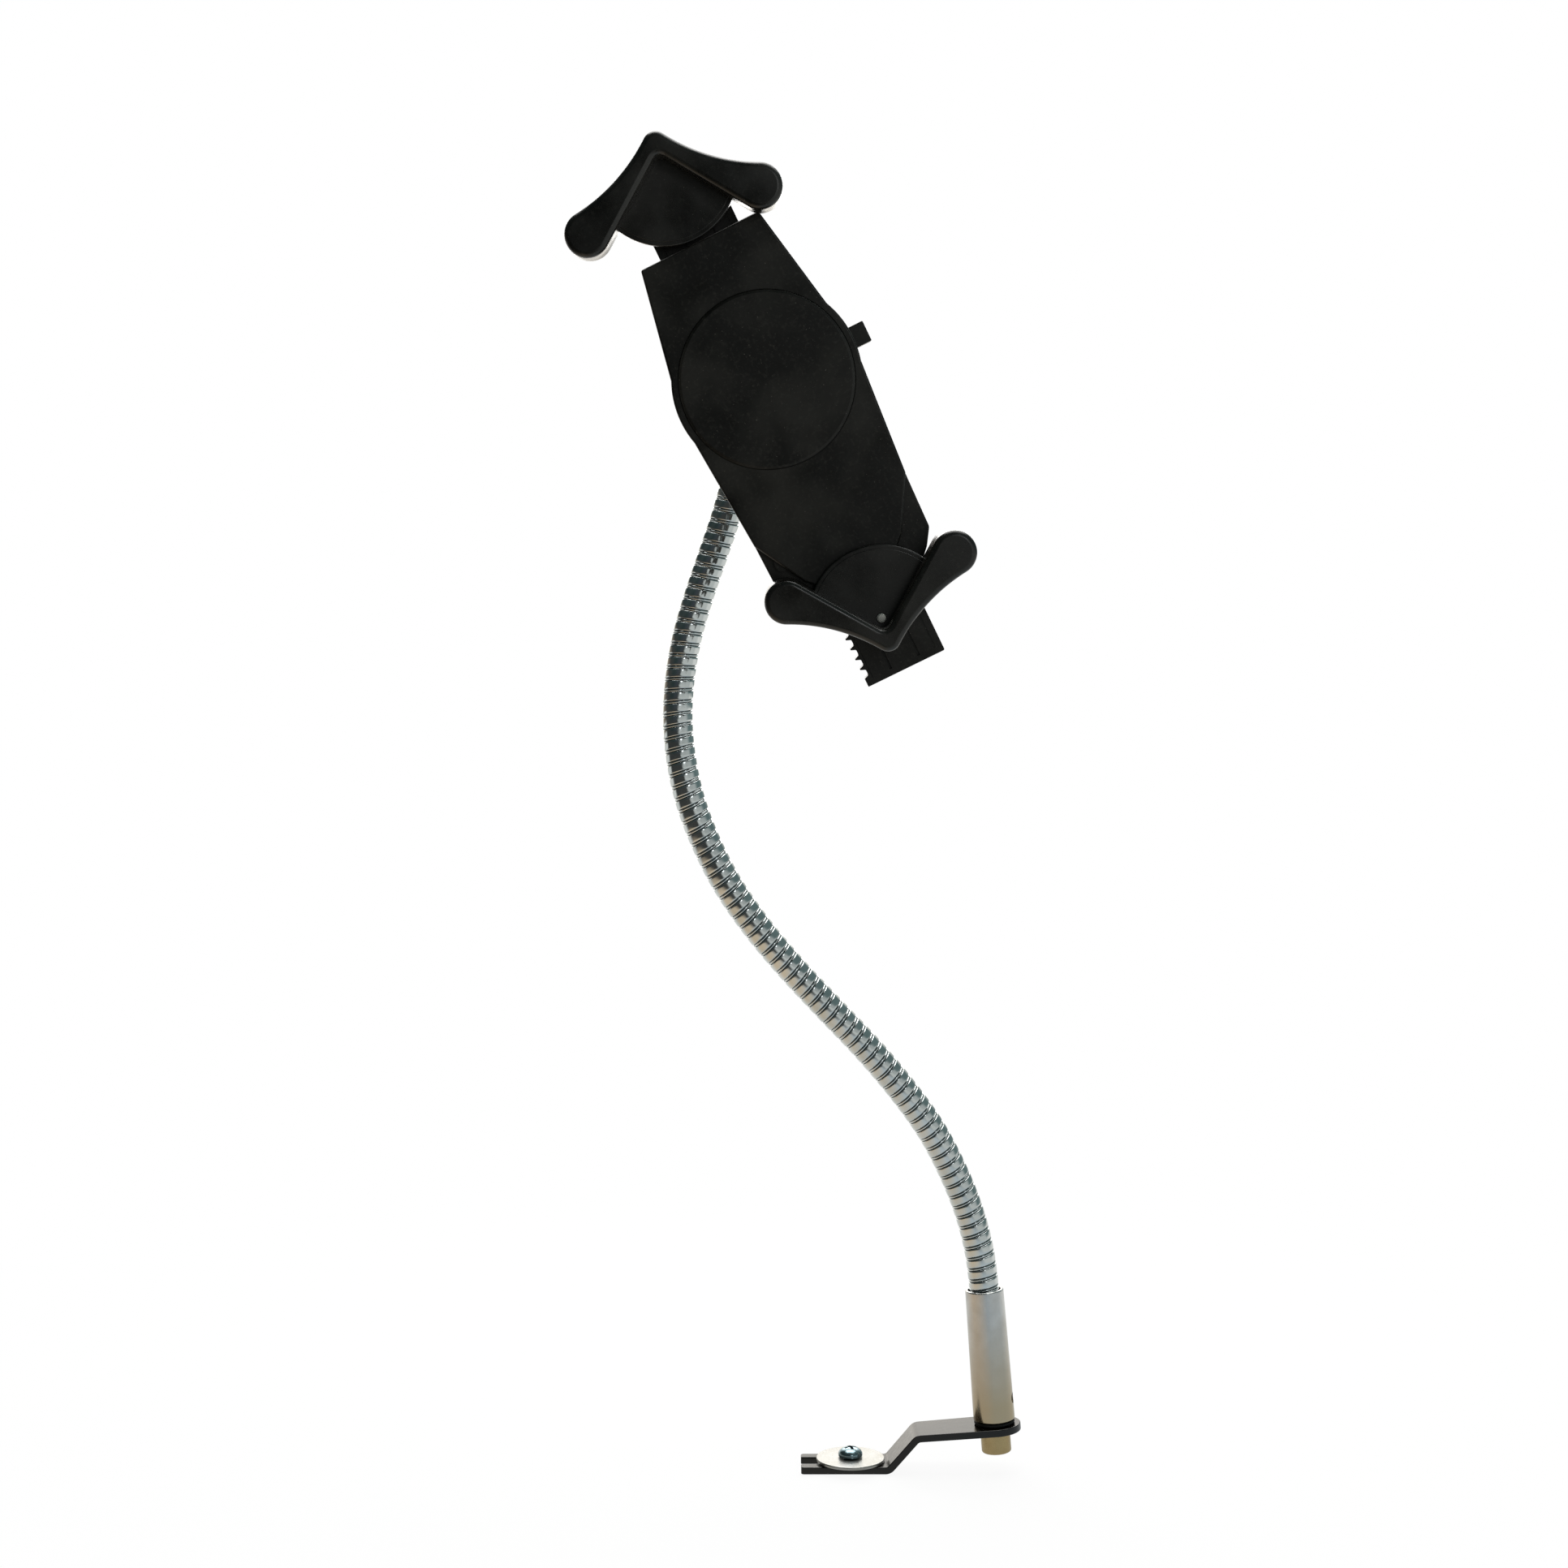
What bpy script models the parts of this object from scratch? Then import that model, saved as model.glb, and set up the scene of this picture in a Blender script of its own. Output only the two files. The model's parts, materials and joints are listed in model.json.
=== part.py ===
"""Gooseneck tablet holder on a slotted floor bracket.

Frame: +Z up, the head faces -Y, +X to the right. The origin is on the
underside of the bracket's foot, between the closed end of its slot and its
first bend. Lengths are in metres, and MM turns millimetres into metres.
"""
import math

import bmesh
import bpy
from mathutils import Matrix, Vector

MM = 0.001
GAP = 0.3 * MM                      # between pieces that touch

# Bracket: one bent strip, seen from its side (X, Z) and from above (X, Y)
STRIP_THICKNESS = 2.9 * MM
FOOT_END_X = -29.6 * MM             # open end of the fork
FOOT_BEND_X = 6.5 * MM              # underside of the lower bend
PLATE_BEND = Vector((17.9, 13.0)) * MM      # underside of the upper bend
PLATE_SLOPE = math.radians(4.4)
STRIP_BEND_RADIUS = 2.0 * MM
FOOT_WIDTH = 18.0 * MM
PLATE_END_RADIUS = 10.7 * MM
SLOT_WIDTH = 8.6 * MM
SLOT_END_X = -4.5 * MM              # closed end of the slot

# Floor fixing
FLOOR_SCREW_X = -9.5 * MM
WASHER_RADIUS = 13.9 * MM
WASHER_THICKNESS = 1.2 * MM
WASHER_HOLE_RADIUS = 3.1 * MM
FLOOR_SCREW_RADIUS = 2.7 * MM
FLOOR_HEAD_RADIUS = 4.9 * MM
FLOOR_HEAD_HEIGHT = 3.9 * MM

# Post: cap screw, swivel washer and tapered ferrule on the upper plate
POST_X = 49.1 * MM
POST_SCREW_RADIUS = 3.95 * MM
POST_HEAD_RADIUS = 6.0 * MM
POST_HEAD_HEIGHT = 8.4 * MM
POST_SCREW_REACH = 13.0 * MM
HEX_ACROSS_FLATS = 6.0 * MM
SWIVEL_WASHER_THICKNESS = 1.0 * MM
FERRULE_LENGTH = 53.0 * MM
FERRULE_BOTTOM_RADIUS = 8.4 * MM
FERRULE_TOP_RADIUS = 7.75 * MM
FERRULE_NECK_BORE = 6.6 * MM
FERRULE_NECK_DEPTH = 16.0 * MM
FERRULE_SCREW_DEPTH = 14.4 * MM
SET_SCREW_HEIGHT = 8.5 * MM
SET_SCREW_RADIUS = 1.9 * MM
SET_SCREW_TURN = math.radians(-14.0)

# Gooseneck
NECK_RADIUS = 6.0 * MM
NECK_WALL = 1.3 * MM
CORE_RADIUS = 3.0 * MM
NECK_JOINT_GAP = 2.6 * MM
CORE_RECESS = 2.0 * MM
NECK_SEGMENTS = 5
NECK_RING_STEP = 7.0 * MM
NECK_ROUTE = [Vector(point) * MM for point in (
    (46.1, 0.0, 57.7), (44.9, 0.0, 72.7), (42.8, 0.0, 88.6), (38.4, -0.5, 105.2), (31.6, -2.0, 121.9),
    (22.6, -4.5, 138.8), (10.6, -7.5, 155.6), (-3.5, -10.5, 172.4), (-19.1, -13.5, 189.0),
    (-34.2, -16.0, 205.4), (-47.7, -18.5, 221.8), (-58.8, -20.5, 238.0), (-67.1, -22.0, 254.2),
    (-73.2, -23.5, 270.3), (-76.9, -24.5, 286.3), (-78.5, -25.0, 302.4), (-77.8, -25.5, 318.4),
    (-75.2, -26.0, 334.3), (-70.7, -26.8, 350.3), (-65.3, -28.0, 366.1), (-59.6, -29.8, 382.5),
    (-54.5, -34.0, 399.0), (-49.4, -44.7, 412.6), (-45.8, -58.1, 419.1), (-44.5, -69.8, 421.2))]

# Head: its own frame has X to the right, Y into the head and Z up the bar
HEAD_CENTRE = Vector((-42.5, -118.0, 420.0)) * MM       # middle of the front face
HEAD_TILT = math.radians(8.8)       # face turned down
HEAD_LEAN = math.radians(-26.2)     # bar leaned left
BALL_DEPTH = 30.0 * MM
BALL_RADIUS = 8.0 * MM
SEAT_INNER_RADIUS = 8.3 * MM
SEAT_OUTER_RADIUS = 10.2 * MM
CUP_RADIUS = 10.5 * MM
SEAT_OPENING = math.radians(58.0)
RING_OPENING = math.radians(54.0)
BOSS_RADIUS = 14.5 * MM
BOSS_DEPTH = 28.0 * MM
RING_RADIUS = 18.5 * MM
RING_LENGTH = 16.5 * MM
STUD_DIRECTION = Vector((-0.107, 0.978, -0.177)).normalized()
STUD_RADIUS = 3.4 * MM
COLLAR_START = 13.4 * MM            # along the stud, from the ball's centre
COLLAR_END = 31.0 * MM
COLLAR_RADIUS = 7.7 * MM

HOUSING_TOP = 53.1 * MM
HOUSING_TOP_HALF = 22.9 * MM
DISC_BULGE_RADIUS = 33.75 * MM
DISC_BULGE_START = math.radians(25.4)
DISC_BULGE_END = math.radians(-14.4)
HOUSING_SHOULDER = Vector((29.8, -50.5)) * MM
HOUSING_HIP = Vector((29.3, -71.5)) * MM
HOUSING_FLANK = Vector((25.5, -77.5)) * MM
NOSE_RADIUS = 8.0 * MM
NOSE_START = math.radians(-48.0)
TONGUE = [Vector(corner) * MM for corner in ((19.3, -69.3), (12.6, -76.0), (8.6, -80.0))]
STEP_DEPTH = 3.2 * MM               # the lower face behind the raised one
SHELL_SPLIT = 8.0 * MM
HOUSING_DEPTH = 19.0 * MM
WALL = 2.2 * MM
FRONT_WALL = 2.4 * MM
PAD_RADIUS = 31.1 * MM
PAD_PROUD = 0.8 * MM
PAD_RECESS = 1.2 * MM

BAR_HALF_WIDTH = 15.3 * MM
BAR_FRONT = 5.5 * MM
BAR_THICKNESS = 5.0 * MM
BAR_BOTTOM = -114.0 * MM
BAR_SHOULDER = 64.0 * MM            # where the bar narrows towards the upper jaw
BAR_GROOVES = (-5.2 * MM, 6.0 * MM)
BAR_GROOVE_WIDTH = 1.0 * MM
BAR_GROOVE_DEPTH = 0.9 * MM
TOOTH_PITCH = 4.0 * MM
TOOTH_DEPTH = 1.8 * MM
TOOTH_TIP = 0.25 * MM               # half the flat on a tooth's tip
TOOTH_FOOT = 0.95 * MM              # half a tooth's width at its root
TOOTH_COUNT = 30
FIRST_TOOTH = 3.0 * MM              # above the bar's bottom end

UPPER_PIVOT = Vector((-0.6, 0.0, 80.05)) * MM
LOWER_PIVOT = Vector((-0.3, 0.0, -92.9)) * MM
UPPER_TURN = math.radians(10.9)     # both jaws, clockwise from the front
LOWER_TURN = math.radians(9.8)
JAW_HALF_ANGLE = math.radians(44.5)
JAW_CORNER = 4.3 * MM               # pivot to the sharp inner corner of the V
JAW_REACH = 35.7 * MM               # inner corner to the middle of the lobe
JAW_LOBE_RADIUS = 7.85 * MM
JAW_WAIST = 6.2 * MM
JAW_APEX_RADIUS = 4.6 * MM
JAW_INNER_RADIUS = 2.8 * MM
JAW_FRONT = -15.4 * MM
UPPER_JAW_BACK = -0.4 * MM          # clear of the housing's top corner
LOWER_JAW_BACK = 2.9 * MM
SECTOR_RADIUS = 26.1 * MM           # about the pivot
SECTOR_HALF_ANGLE = math.radians(54.0)
SECTOR_FRONT = -3.4 * MM
SECTOR_BACK = -0.4 * MM
SECTOR_SKIN = 1.0 * MM              # in front of the upper jaw's blind pin hole
HUB_RADIUS = 6.0 * MM
PIN_RADIUS = 1.75 * MM
PIN_PROUD = 0.5 * MM
LOWER_PIN_END = 5.0 * MM

BUTTON_HALF_HEIGHT = 3.85 * MM
BUTTON_FACE_X = 39.4 * MM
BUTTON_DEPTH = (6.2 * MM, 12.8 * MM)
PAWL_TIP_X = -BAR_HALF_WIDTH - 0.25 * MM
LATCH_DEPTH = (11.0 * MM, 13.0 * MM)
LATCH_HALF_HEIGHT = 6.0 * MM
LATCH_LEFT = (-19.4 * MM, -17.0 * MM)
LATCH_RIGHT = (23.6 * MM, 26.6 * MM)
SPRING_DEPTH = 8.6 * MM
SPRING_ENDS = (-28.3 * MM, -19.9 * MM)
SPRING_RADIUS = 2.3 * MM
SPRING_WIRE = 0.4 * MM
SCREW_PLACES = [Vector(place) * MM for place in (
    (20.4, 0, 42.5), (-20.4, 0, 42.5), (23.4, 0, -60.0), (-23.4, 0, -60.0))]

ROUND_STEPS = 24


# ---------------------------------------------------------------- helpers

def clear_scene():
    for item in list(bpy.data.objects):
        bpy.data.objects.remove(item, do_unlink=True)


def collection(name):
    group = bpy.data.collections.new(name)
    bpy.context.scene.collection.children.link(group)
    return group


def principled(name, colour, roughness, metallic):
    material = bpy.data.materials.new(name)
    material.use_nodes = True
    shader = material.node_tree.nodes["Principled BSDF"]
    shader.inputs["Base Color"].default_value = (*colour, 1.0)
    shader.inputs["Roughness"].default_value = roughness
    shader.inputs["Metallic"].default_value = metallic
    return material


def add_object(name, mesh, material=None, parent=None, location=None):
    item = bpy.data.objects.new(name, mesh)
    if material:
        mesh.materials.append(material)
        PARTS.objects.link(item)
    else:
        CUTTERS.objects.link(item)
        item.hide_render = True
        item.display_type = "WIRE"
    item.parent = parent
    if location:
        item.location = location
    return item


def empty(name, matrix, parent=None):
    item = bpy.data.objects.new(name, None)
    item.empty_display_size = 0.01
    PARTS.objects.link(item)
    item.parent = parent
    item.matrix_local = matrix
    return item


def smooth(mesh, angle=35.0):
    mesh.shade_smooth()
    mesh.set_sharp_from_angle(angle=math.radians(angle))


def mesh_of_curve(curve):
    """The welded mesh of a curve's evaluated object."""
    item = bpy.data.objects.new(curve.name, curve)
    bpy.context.scene.collection.objects.link(item)
    graph = bpy.context.evaluated_depsgraph_get()
    mesh = bpy.data.meshes.new_from_object(item.evaluated_get(graph))
    bpy.data.objects.remove(item)
    bpy.data.curves.remove(curve)
    work = bmesh.new()
    work.from_mesh(mesh)
    bmesh.ops.remove_doubles(work, verts=work.verts, dist=1e-6)
    bmesh.ops.recalc_face_normals(work, faces=work.faces)
    work.to_mesh(mesh)
    work.free()
    return mesh


def plate_mesh(name, outline, front, back, holes=()):
    """A flat outline in (X, Z), solid from Y = front to Y = back."""
    curve = bpy.data.curves.new(name, "CURVE")
    curve.dimensions = "2D"
    curve.fill_mode = "BOTH"
    curve.extrude = (back - front) / 2
    for loop in (outline, *holes):
        spline = curve.splines.new("POLY")
        spline.points.add(len(loop) - 1)
        for point, place in zip(spline.points, loop):
            point.co = (place[0], place[1], 0.0, 1.0)
        spline.use_cyclic_u = True
    mesh = mesh_of_curve(curve)
    mesh.transform(Matrix.Translation((0, (front + back) / 2, 0)) @ Matrix.Rotation(math.pi / 2, 4, "X"))
    return mesh


def rod_mesh(name, points, radius, resolution=3):
    curve = bpy.data.curves.new(name, "CURVE")
    curve.dimensions = "3D"
    curve.bevel_depth = radius
    curve.bevel_resolution = resolution
    curve.use_fill_caps = True
    spline = curve.splines.new("POLY")
    spline.points.add(len(points) - 1)
    for point, place in zip(spline.points, points):
        point.co = (*place, 1.0)
    return mesh_of_curve(curve)


def box_mesh(name, low, high):
    mesh = bpy.data.meshes.new(name)
    work = bmesh.new()
    size = Vector(high) - Vector(low)
    middle = (Vector(high) + Vector(low)) / 2
    bmesh.ops.create_cube(work, size=1.0, matrix=Matrix.Translation(middle) @ Matrix.Diagonal((*size, 1.0)))
    work.to_mesh(mesh)
    work.free()
    return mesh


def cylinder_mesh(name, radius, start, end, steps=ROUND_STEPS, place=(0, 0), along="Y"):
    """A cylinder along Y at (X, Z), or along Z at (X, Y), or along X at (Y, Z)."""
    mesh = bpy.data.meshes.new(name)
    work = bmesh.new()
    bmesh.ops.create_cone(work, cap_ends=True, segments=steps, radius1=radius, radius2=radius,
                          depth=abs(end - start))
    work.to_mesh(mesh)
    work.free()
    middle = (start + end) / 2
    turns = {"X": (Matrix.Rotation(math.pi / 2, 4, "Y"), (middle, place[0], place[1])),
             "Y": (Matrix.Rotation(math.pi / 2, 4, "X"), (place[0], middle, place[1])),
             "Z": (Matrix.Identity(4), (place[0], place[1], middle))}
    turn, centre = turns[along]
    mesh.transform(Matrix.Translation(centre) @ turn)
    smooth(mesh)
    return mesh


def sphere_mesh(name, radius, centre):
    mesh = bpy.data.meshes.new(name)
    work = bmesh.new()
    bmesh.ops.create_uvsphere(work, u_segments=ROUND_STEPS, v_segments=16, radius=radius,
                              matrix=Matrix.Translation(centre) @ Matrix.Rotation(math.pi / 2, 4, "X"))
    work.to_mesh(mesh)
    work.free()
    return mesh


def turned(name, profile, material, parent=None, location=None, steps=ROUND_STEPS):
    """A Screw modifier turns (radius, height) points about Z, outer side top to bottom."""
    mesh = bpy.data.meshes.new(name)
    work = bmesh.new()
    points = [work.verts.new((radius, 0, height)) for radius, height in profile]
    for first, second in zip(points, points[1:]):
        work.edges.new((first, second))
    if profile[0][0] > 0:
        work.edges.new((points[-1], points[0]))
    work.to_mesh(mesh)
    work.free()
    item = add_object(name, mesh, material, parent, location)
    screw = item.modifiers.new("turn", "SCREW")
    screw.steps = steps
    screw.render_steps = steps
    screw.use_merge_vertices = True
    screw.merge_threshold = 0.00001
    screw.use_smooth_shade = False
    return item


def boolean(item, other, operation):
    modifier = item.modifiers.new(other.name, "BOOLEAN")
    modifier.operation = operation
    modifier.solver = "EXACT"
    modifier.object = other


def tool(item, mesh, operation, place=None):
    """Cut, join or intersect item with a helper that shares its parent and place."""
    other = add_object(mesh.name, mesh, None, item.parent, place or item.location.copy())
    other.rotation_euler = item.rotation_euler
    boolean(item, other, operation)
    return other


def arc(centre, radius, start, end, steps):
    return [(centre[0] + radius * math.cos(start + (end - start) * step / steps),
             centre[1] + radius * math.sin(start + (end - start) * step / steps)) for step in range(steps + 1)]


def fillet(before, corner, after, radius, steps=4):
    """Points that round a corner of a flat outline."""
    corner = Vector(corner)
    to_before = (Vector(before) - corner).normalized()
    to_after = (Vector(after) - corner).normalized()
    half = to_before.angle(to_after) / 2
    reach = radius / math.tan(half)
    centre = corner + (to_before + to_after).normalized() * radius / math.sin(half)
    start = corner + to_before * reach - centre
    end = corner + to_after * reach - centre
    points = []
    for step in range(steps + 1):
        share = step / steps
        direction = (start * (1 - share) + end * share).normalized()
        points.append(tuple(centre + direction * radius))
    return points


def mirrored(half):
    """A right half from top to bottom, closed with its mirror image."""
    return list(half) + [(-x, z) for x, z in reversed(half) if x > 1e-7]


# ---------------------------------------------------------------- materials

def black_paint():
    return principled("black_paint", (0.02, 0.018, 0.016), 0.32, 0.0)


def bright_zinc():
    return principled("bright_zinc", (0.78, 0.77, 0.72), 0.28, 1.0)


def blue_zinc():
    return principled("blue_zinc", (0.42, 0.5, 0.53), 0.25, 1.0)


def yellow_zinc():
    return principled("yellow_zinc", (0.68, 0.52, 0.28), 0.3, 1.0)


def nickel():
    return principled("nickel", (0.72, 0.7, 0.66), 0.16, 1.0)


def neck_chrome():
    return principled("neck_chrome", (0.6, 0.62, 0.62), 0.14, 1.0)


def core_steel():
    return principled("core_steel", (0.35, 0.34, 0.33), 0.4, 1.0)


def shell_plastic():
    return principled("shell_plastic", (0.012, 0.012, 0.011), 0.42, 0.0)


def jaw_plastic():
    return principled("jaw_plastic", (0.014, 0.014, 0.013), 0.3, 0.0)


def bar_plastic():
    return principled("bar_plastic", (0.016, 0.016, 0.015), 0.38, 0.0)


def pad_rubber():
    return principled("pad_rubber", (0.014, 0.014, 0.013), 0.6, 0.0)


def pin_steel():
    return principled("pin_steel", (0.75, 0.73, 0.68), 0.25, 1.0)


def seat_nylon():
    return principled("seat_nylon", (0.55, 0.53, 0.48), 0.45, 0.0)


def washer_rubber():
    return principled("washer_rubber", (0.01, 0.01, 0.01), 0.7, 0.0)


# ---------------------------------------------------------------- bracket

def strip_side():
    """The bent strip from its side: the underside left to right, then the top back."""
    end_x = POST_X + PLATE_END_RADIUS + 4 * MM
    end = Vector((end_x, PLATE_BEND.y + (end_x - PLATE_BEND.x) * math.tan(PLATE_SLOPE)))
    under = [Vector((FOOT_END_X, 0)), Vector((FOOT_BEND_X, 0)), PLATE_BEND, end]
    web = (PLATE_BEND - under[1]).normalized()
    plate = (end - PLATE_BEND).normalized()
    lower_lift = Vector((-math.tan(math.atan2(web.y, web.x) / 2), 1)) * STRIP_THICKNESS
    normal = Vector((-web.y, web.x)) + Vector((-plate.y, plate.x))
    upper_lift = normal * STRIP_THICKNESS * 2 / normal.length_squared
    over = [under[0] + Vector((0, STRIP_THICKNESS)), under[1] + lower_lift, PLATE_BEND + upper_lift,
            end + Vector((-plate.y, plate.x)) * STRIP_THICKNESS]
    inner = STRIP_BEND_RADIUS
    outer = STRIP_BEND_RADIUS + STRIP_THICKNESS
    loop = [tuple(under[0])]
    loop += fillet(under[0], under[1], under[2], outer)
    loop += fillet(under[1], under[2], under[3], inner)
    loop += [tuple(end), tuple(over[3])]
    loop += fillet(over[3], over[2], over[1], outer)
    loop += fillet(over[2], over[1], over[0], inner)
    loop.append(tuple(over[0]))
    return loop


def strip_plan():
    """The strip from above, with its round end and its slot open to the left."""
    half_foot = FOOT_WIDTH / 2
    half_slot = SLOT_WIDTH / 2
    slot_centre = SLOT_END_X - half_slot
    right = arc((POST_X, 0), PLATE_END_RADIUS, -math.pi / 2, math.pi / 2, 16)
    slot = arc((slot_centre, 0), half_slot, math.pi / 2, -math.pi / 2, 10)
    outline = [(FOOT_END_X, -half_foot), (FOOT_BEND_X, -half_foot)] + right
    outline += [(FOOT_BEND_X, half_foot), (FOOT_END_X, half_foot), (FOOT_END_X, half_slot)]
    return outline + slot + [(FOOT_END_X, -half_slot)]


def offset_bracket():
    side = plate_mesh("offset_bracket", strip_side(), -0.02, 0.02)
    item = add_object("offset_bracket", side, black_paint())
    plan = plate_mesh("bracket_plan", strip_plan(), -0.03, 0.03)
    plan.transform(Matrix.Rotation(-math.pi / 2, 4, "X"))
    tool(item, plan, "INTERSECT")
    hole = cylinder_mesh("post_hole", POST_SCREW_RADIUS + GAP, -0.03, 0.03, along="Z")
    cutter = tool(item, hole, "DIFFERENCE")
    cutter.parent = POST
    return item


# ---------------------------------------------------------------- floor fixing

def fender_washer():
    low = STRIP_THICKNESS + GAP
    high = low + WASHER_THICKNESS
    profile = [(WASHER_HOLE_RADIUS, high), (WASHER_RADIUS, high), (WASHER_RADIUS, low), (WASHER_HOLE_RADIUS, low)]
    return turned("fender_washer", profile, bright_zinc(), location=Vector((FLOOR_SCREW_X, 0, 0)), steps=40)


def cross_recess(item, height, depth, width, length):
    """A cross-shaped driver recess, cut down from height along the item's Z."""
    for turn in (0, 1):
        half = Vector((length, width, 0)) / 2 if turn else Vector((width, length, 0)) / 2
        low = Vector((-half.x, -half.y, height - depth))
        high = Vector((half.x, half.y, height + depth))
        tool(item, box_mesh(f"{item.name}_recess_{turn}", low, high), "DIFFERENCE")


def floor_screw():
    seat = STRIP_THICKNESS + 2 * GAP + WASHER_THICKNESS
    top = seat + FLOOR_HEAD_HEIGHT
    shoulder = seat + 0.35 * FLOOR_HEAD_HEIGHT
    dome = []
    for step in range(6):
        angle = math.pi / 2 * (1 - step / 5)
        dome.append((FLOOR_HEAD_RADIUS * math.cos(angle), shoulder + (top - shoulder) * math.sin(angle)))
    profile = dome + [(FLOOR_HEAD_RADIUS, seat), (FLOOR_SCREW_RADIUS, seat), (FLOOR_SCREW_RADIUS, GAP), (0, GAP)]
    item = turned("floor_screw", profile, blue_zinc(), location=Vector((FLOOR_SCREW_X, 0, 0)))
    cross_recess(item, top, 2.4 * MM, 1.2 * MM, 5.2 * MM)
    return item


# ---------------------------------------------------------------- post

def post_screw():
    seat = -STRIP_THICKNESS - GAP
    foot = seat - POST_HEAD_HEIGHT
    edge = 0.7 * MM
    profile = [(0, POST_SCREW_REACH), (POST_SCREW_RADIUS - edge, POST_SCREW_REACH),
               (POST_SCREW_RADIUS, POST_SCREW_REACH - edge), (POST_SCREW_RADIUS, seat), (POST_HEAD_RADIUS, seat),
               (POST_HEAD_RADIUS, foot + edge), (POST_HEAD_RADIUS - edge, foot), (0, foot)]
    item = turned("post_screw", profile, yellow_zinc(), POST)
    hexagon = cylinder_mesh("post_screw_socket", HEX_ACROSS_FLATS / math.sqrt(3), foot - 2 * MM, foot + 4 * MM,
                            steps=6, along="Z")
    tool(item, hexagon, "DIFFERENCE")
    return item


def swivel_washer():
    bore = POST_SCREW_RADIUS + GAP
    rim = FERRULE_BOTTOM_RADIUS - 0.2 * MM
    low = GAP
    high = GAP + SWIVEL_WASHER_THICKNESS
    return turned("swivel_washer", [(bore, high), (rim, high), (rim, low), (bore, low)], washer_rubber(), POST)


def base_ferrule():
    low = 2 * GAP + SWIVEL_WASHER_THICKNESS
    high = low + FERRULE_LENGTH
    edge = 0.5 * MM
    bore = POST_SCREW_RADIUS + GAP
    neck_floor = high - FERRULE_NECK_DEPTH
    screw_roof = low + FERRULE_SCREW_DEPTH
    profile = [(0, neck_floor), (FERRULE_NECK_BORE, neck_floor), (FERRULE_NECK_BORE, high - edge),
               (FERRULE_NECK_BORE + edge, high), (FERRULE_TOP_RADIUS - edge / 2, high),
               (FERRULE_TOP_RADIUS, high - edge / 2), (FERRULE_BOTTOM_RADIUS, low + edge),
               (FERRULE_BOTTOM_RADIUS - edge, low), (bore, low), (bore, screw_roof), (0, screw_roof)]
    item = turned("base_ferrule", profile, nickel(), POST)
    hole = cylinder_mesh("set_screw_hole", SET_SCREW_RADIUS + GAP, 2 * MM, 12 * MM, 16,
                         (0, low + SET_SCREW_HEIGHT), "X")
    hole.transform(Matrix.Rotation(SET_SCREW_TURN, 4, "Z"))
    tool(item, hole, "DIFFERENCE")
    return item


def ferrule_set_screw():
    height = 2 * GAP + SWIVEL_WASHER_THICKNESS + SET_SCREW_HEIGHT
    inner = POST_SCREW_RADIUS + GAP
    outer = FERRULE_BOTTOM_RADIUS - 0.9 * MM
    mesh = cylinder_mesh("ferrule_set_screw", SET_SCREW_RADIUS, inner, outer, 16, (0, height), "X")
    mesh.transform(Matrix.Rotation(SET_SCREW_TURN, 4, "Z"))
    item = add_object("ferrule_set_screw", mesh, core_steel(), POST)
    socket = cylinder_mesh("set_screw_socket", 1.1 * MM, outer - 1.6 * MM, outer + 1 * MM, 6, (0, height), "X")
    socket.transform(Matrix.Rotation(SET_SCREW_TURN, 4, "Z"))
    tool(item, socket, "DIFFERENCE")
    return item


# ---------------------------------------------------------------- gooseneck

def catmull(p0, p1, p2, p3, share):
    return 0.5 * (2 * p1 + (p2 - p0) * share + (2 * p0 - 5 * p1 + 4 * p2 - p3) * share ** 2
                  + (3 * p1 - p0 - 3 * p2 + p3) * share ** 3)


def neck_line():
    """The route as closely spaced points, with the distance along it to each."""
    knots = [2 * NECK_ROUTE[0] - NECK_ROUTE[1]] + NECK_ROUTE + [2 * NECK_ROUTE[-1] - NECK_ROUTE[-2]]
    points = []
    per_span = 12
    for first in range(len(knots) - 3):
        for step in range(per_span):
            points.append(catmull(*knots[first:first + 4], step / per_span))
    points.append(NECK_ROUTE[-1].copy())
    distances = [0.0]
    for before, after in zip(points, points[1:]):
        distances.append(distances[-1] + (after - before).length)
    return points, distances


def neck_point(line, distance):
    points, distances = line
    for index in range(1, len(points)):
        if distances[index] >= distance:
            span = distances[index] - distances[index - 1]
            return points[index - 1].lerp(points[index], (distance - distances[index - 1]) / span)
    return points[-1]


def neck_stretch(line, start, end):
    steps = max(2, round((end - start) / NECK_RING_STEP))
    return [neck_point(line, start + (end - start) * step / steps) for step in range(steps + 1)]


def neck_joints(line):
    """Where the neck's hinges are: point and axis, every other one square to the last."""
    total = line[1][-1]
    joints = []
    for index in range(1, NECK_SEGMENTS):
        distance = total * index / NECK_SEGMENTS
        tangent = (neck_point(line, distance + MM) - neck_point(line, distance - MM)).normalized()
        sideways = (Vector((0, 1, 0)) - tangent * tangent.y).normalized()
        axis = sideways if index % 2 else tangent.cross(sideways)
        joints.append((neck_point(line, distance), axis, distance))
    return joints


def extended(points, length):
    first = points[0] + (points[0] - points[1]).normalized() * length
    last = points[-1] + (points[-1] - points[-2]).normalized() * length
    return [first] + points + [last]


def neck_piece(name, points, radius, origin, material):
    mesh = rod_mesh(name, [point - origin for point in points], radius, 4 if radius > 4 * MM else 2)
    smooth(mesh, 50.0)
    return add_object(name, mesh, material, None, origin)


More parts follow.
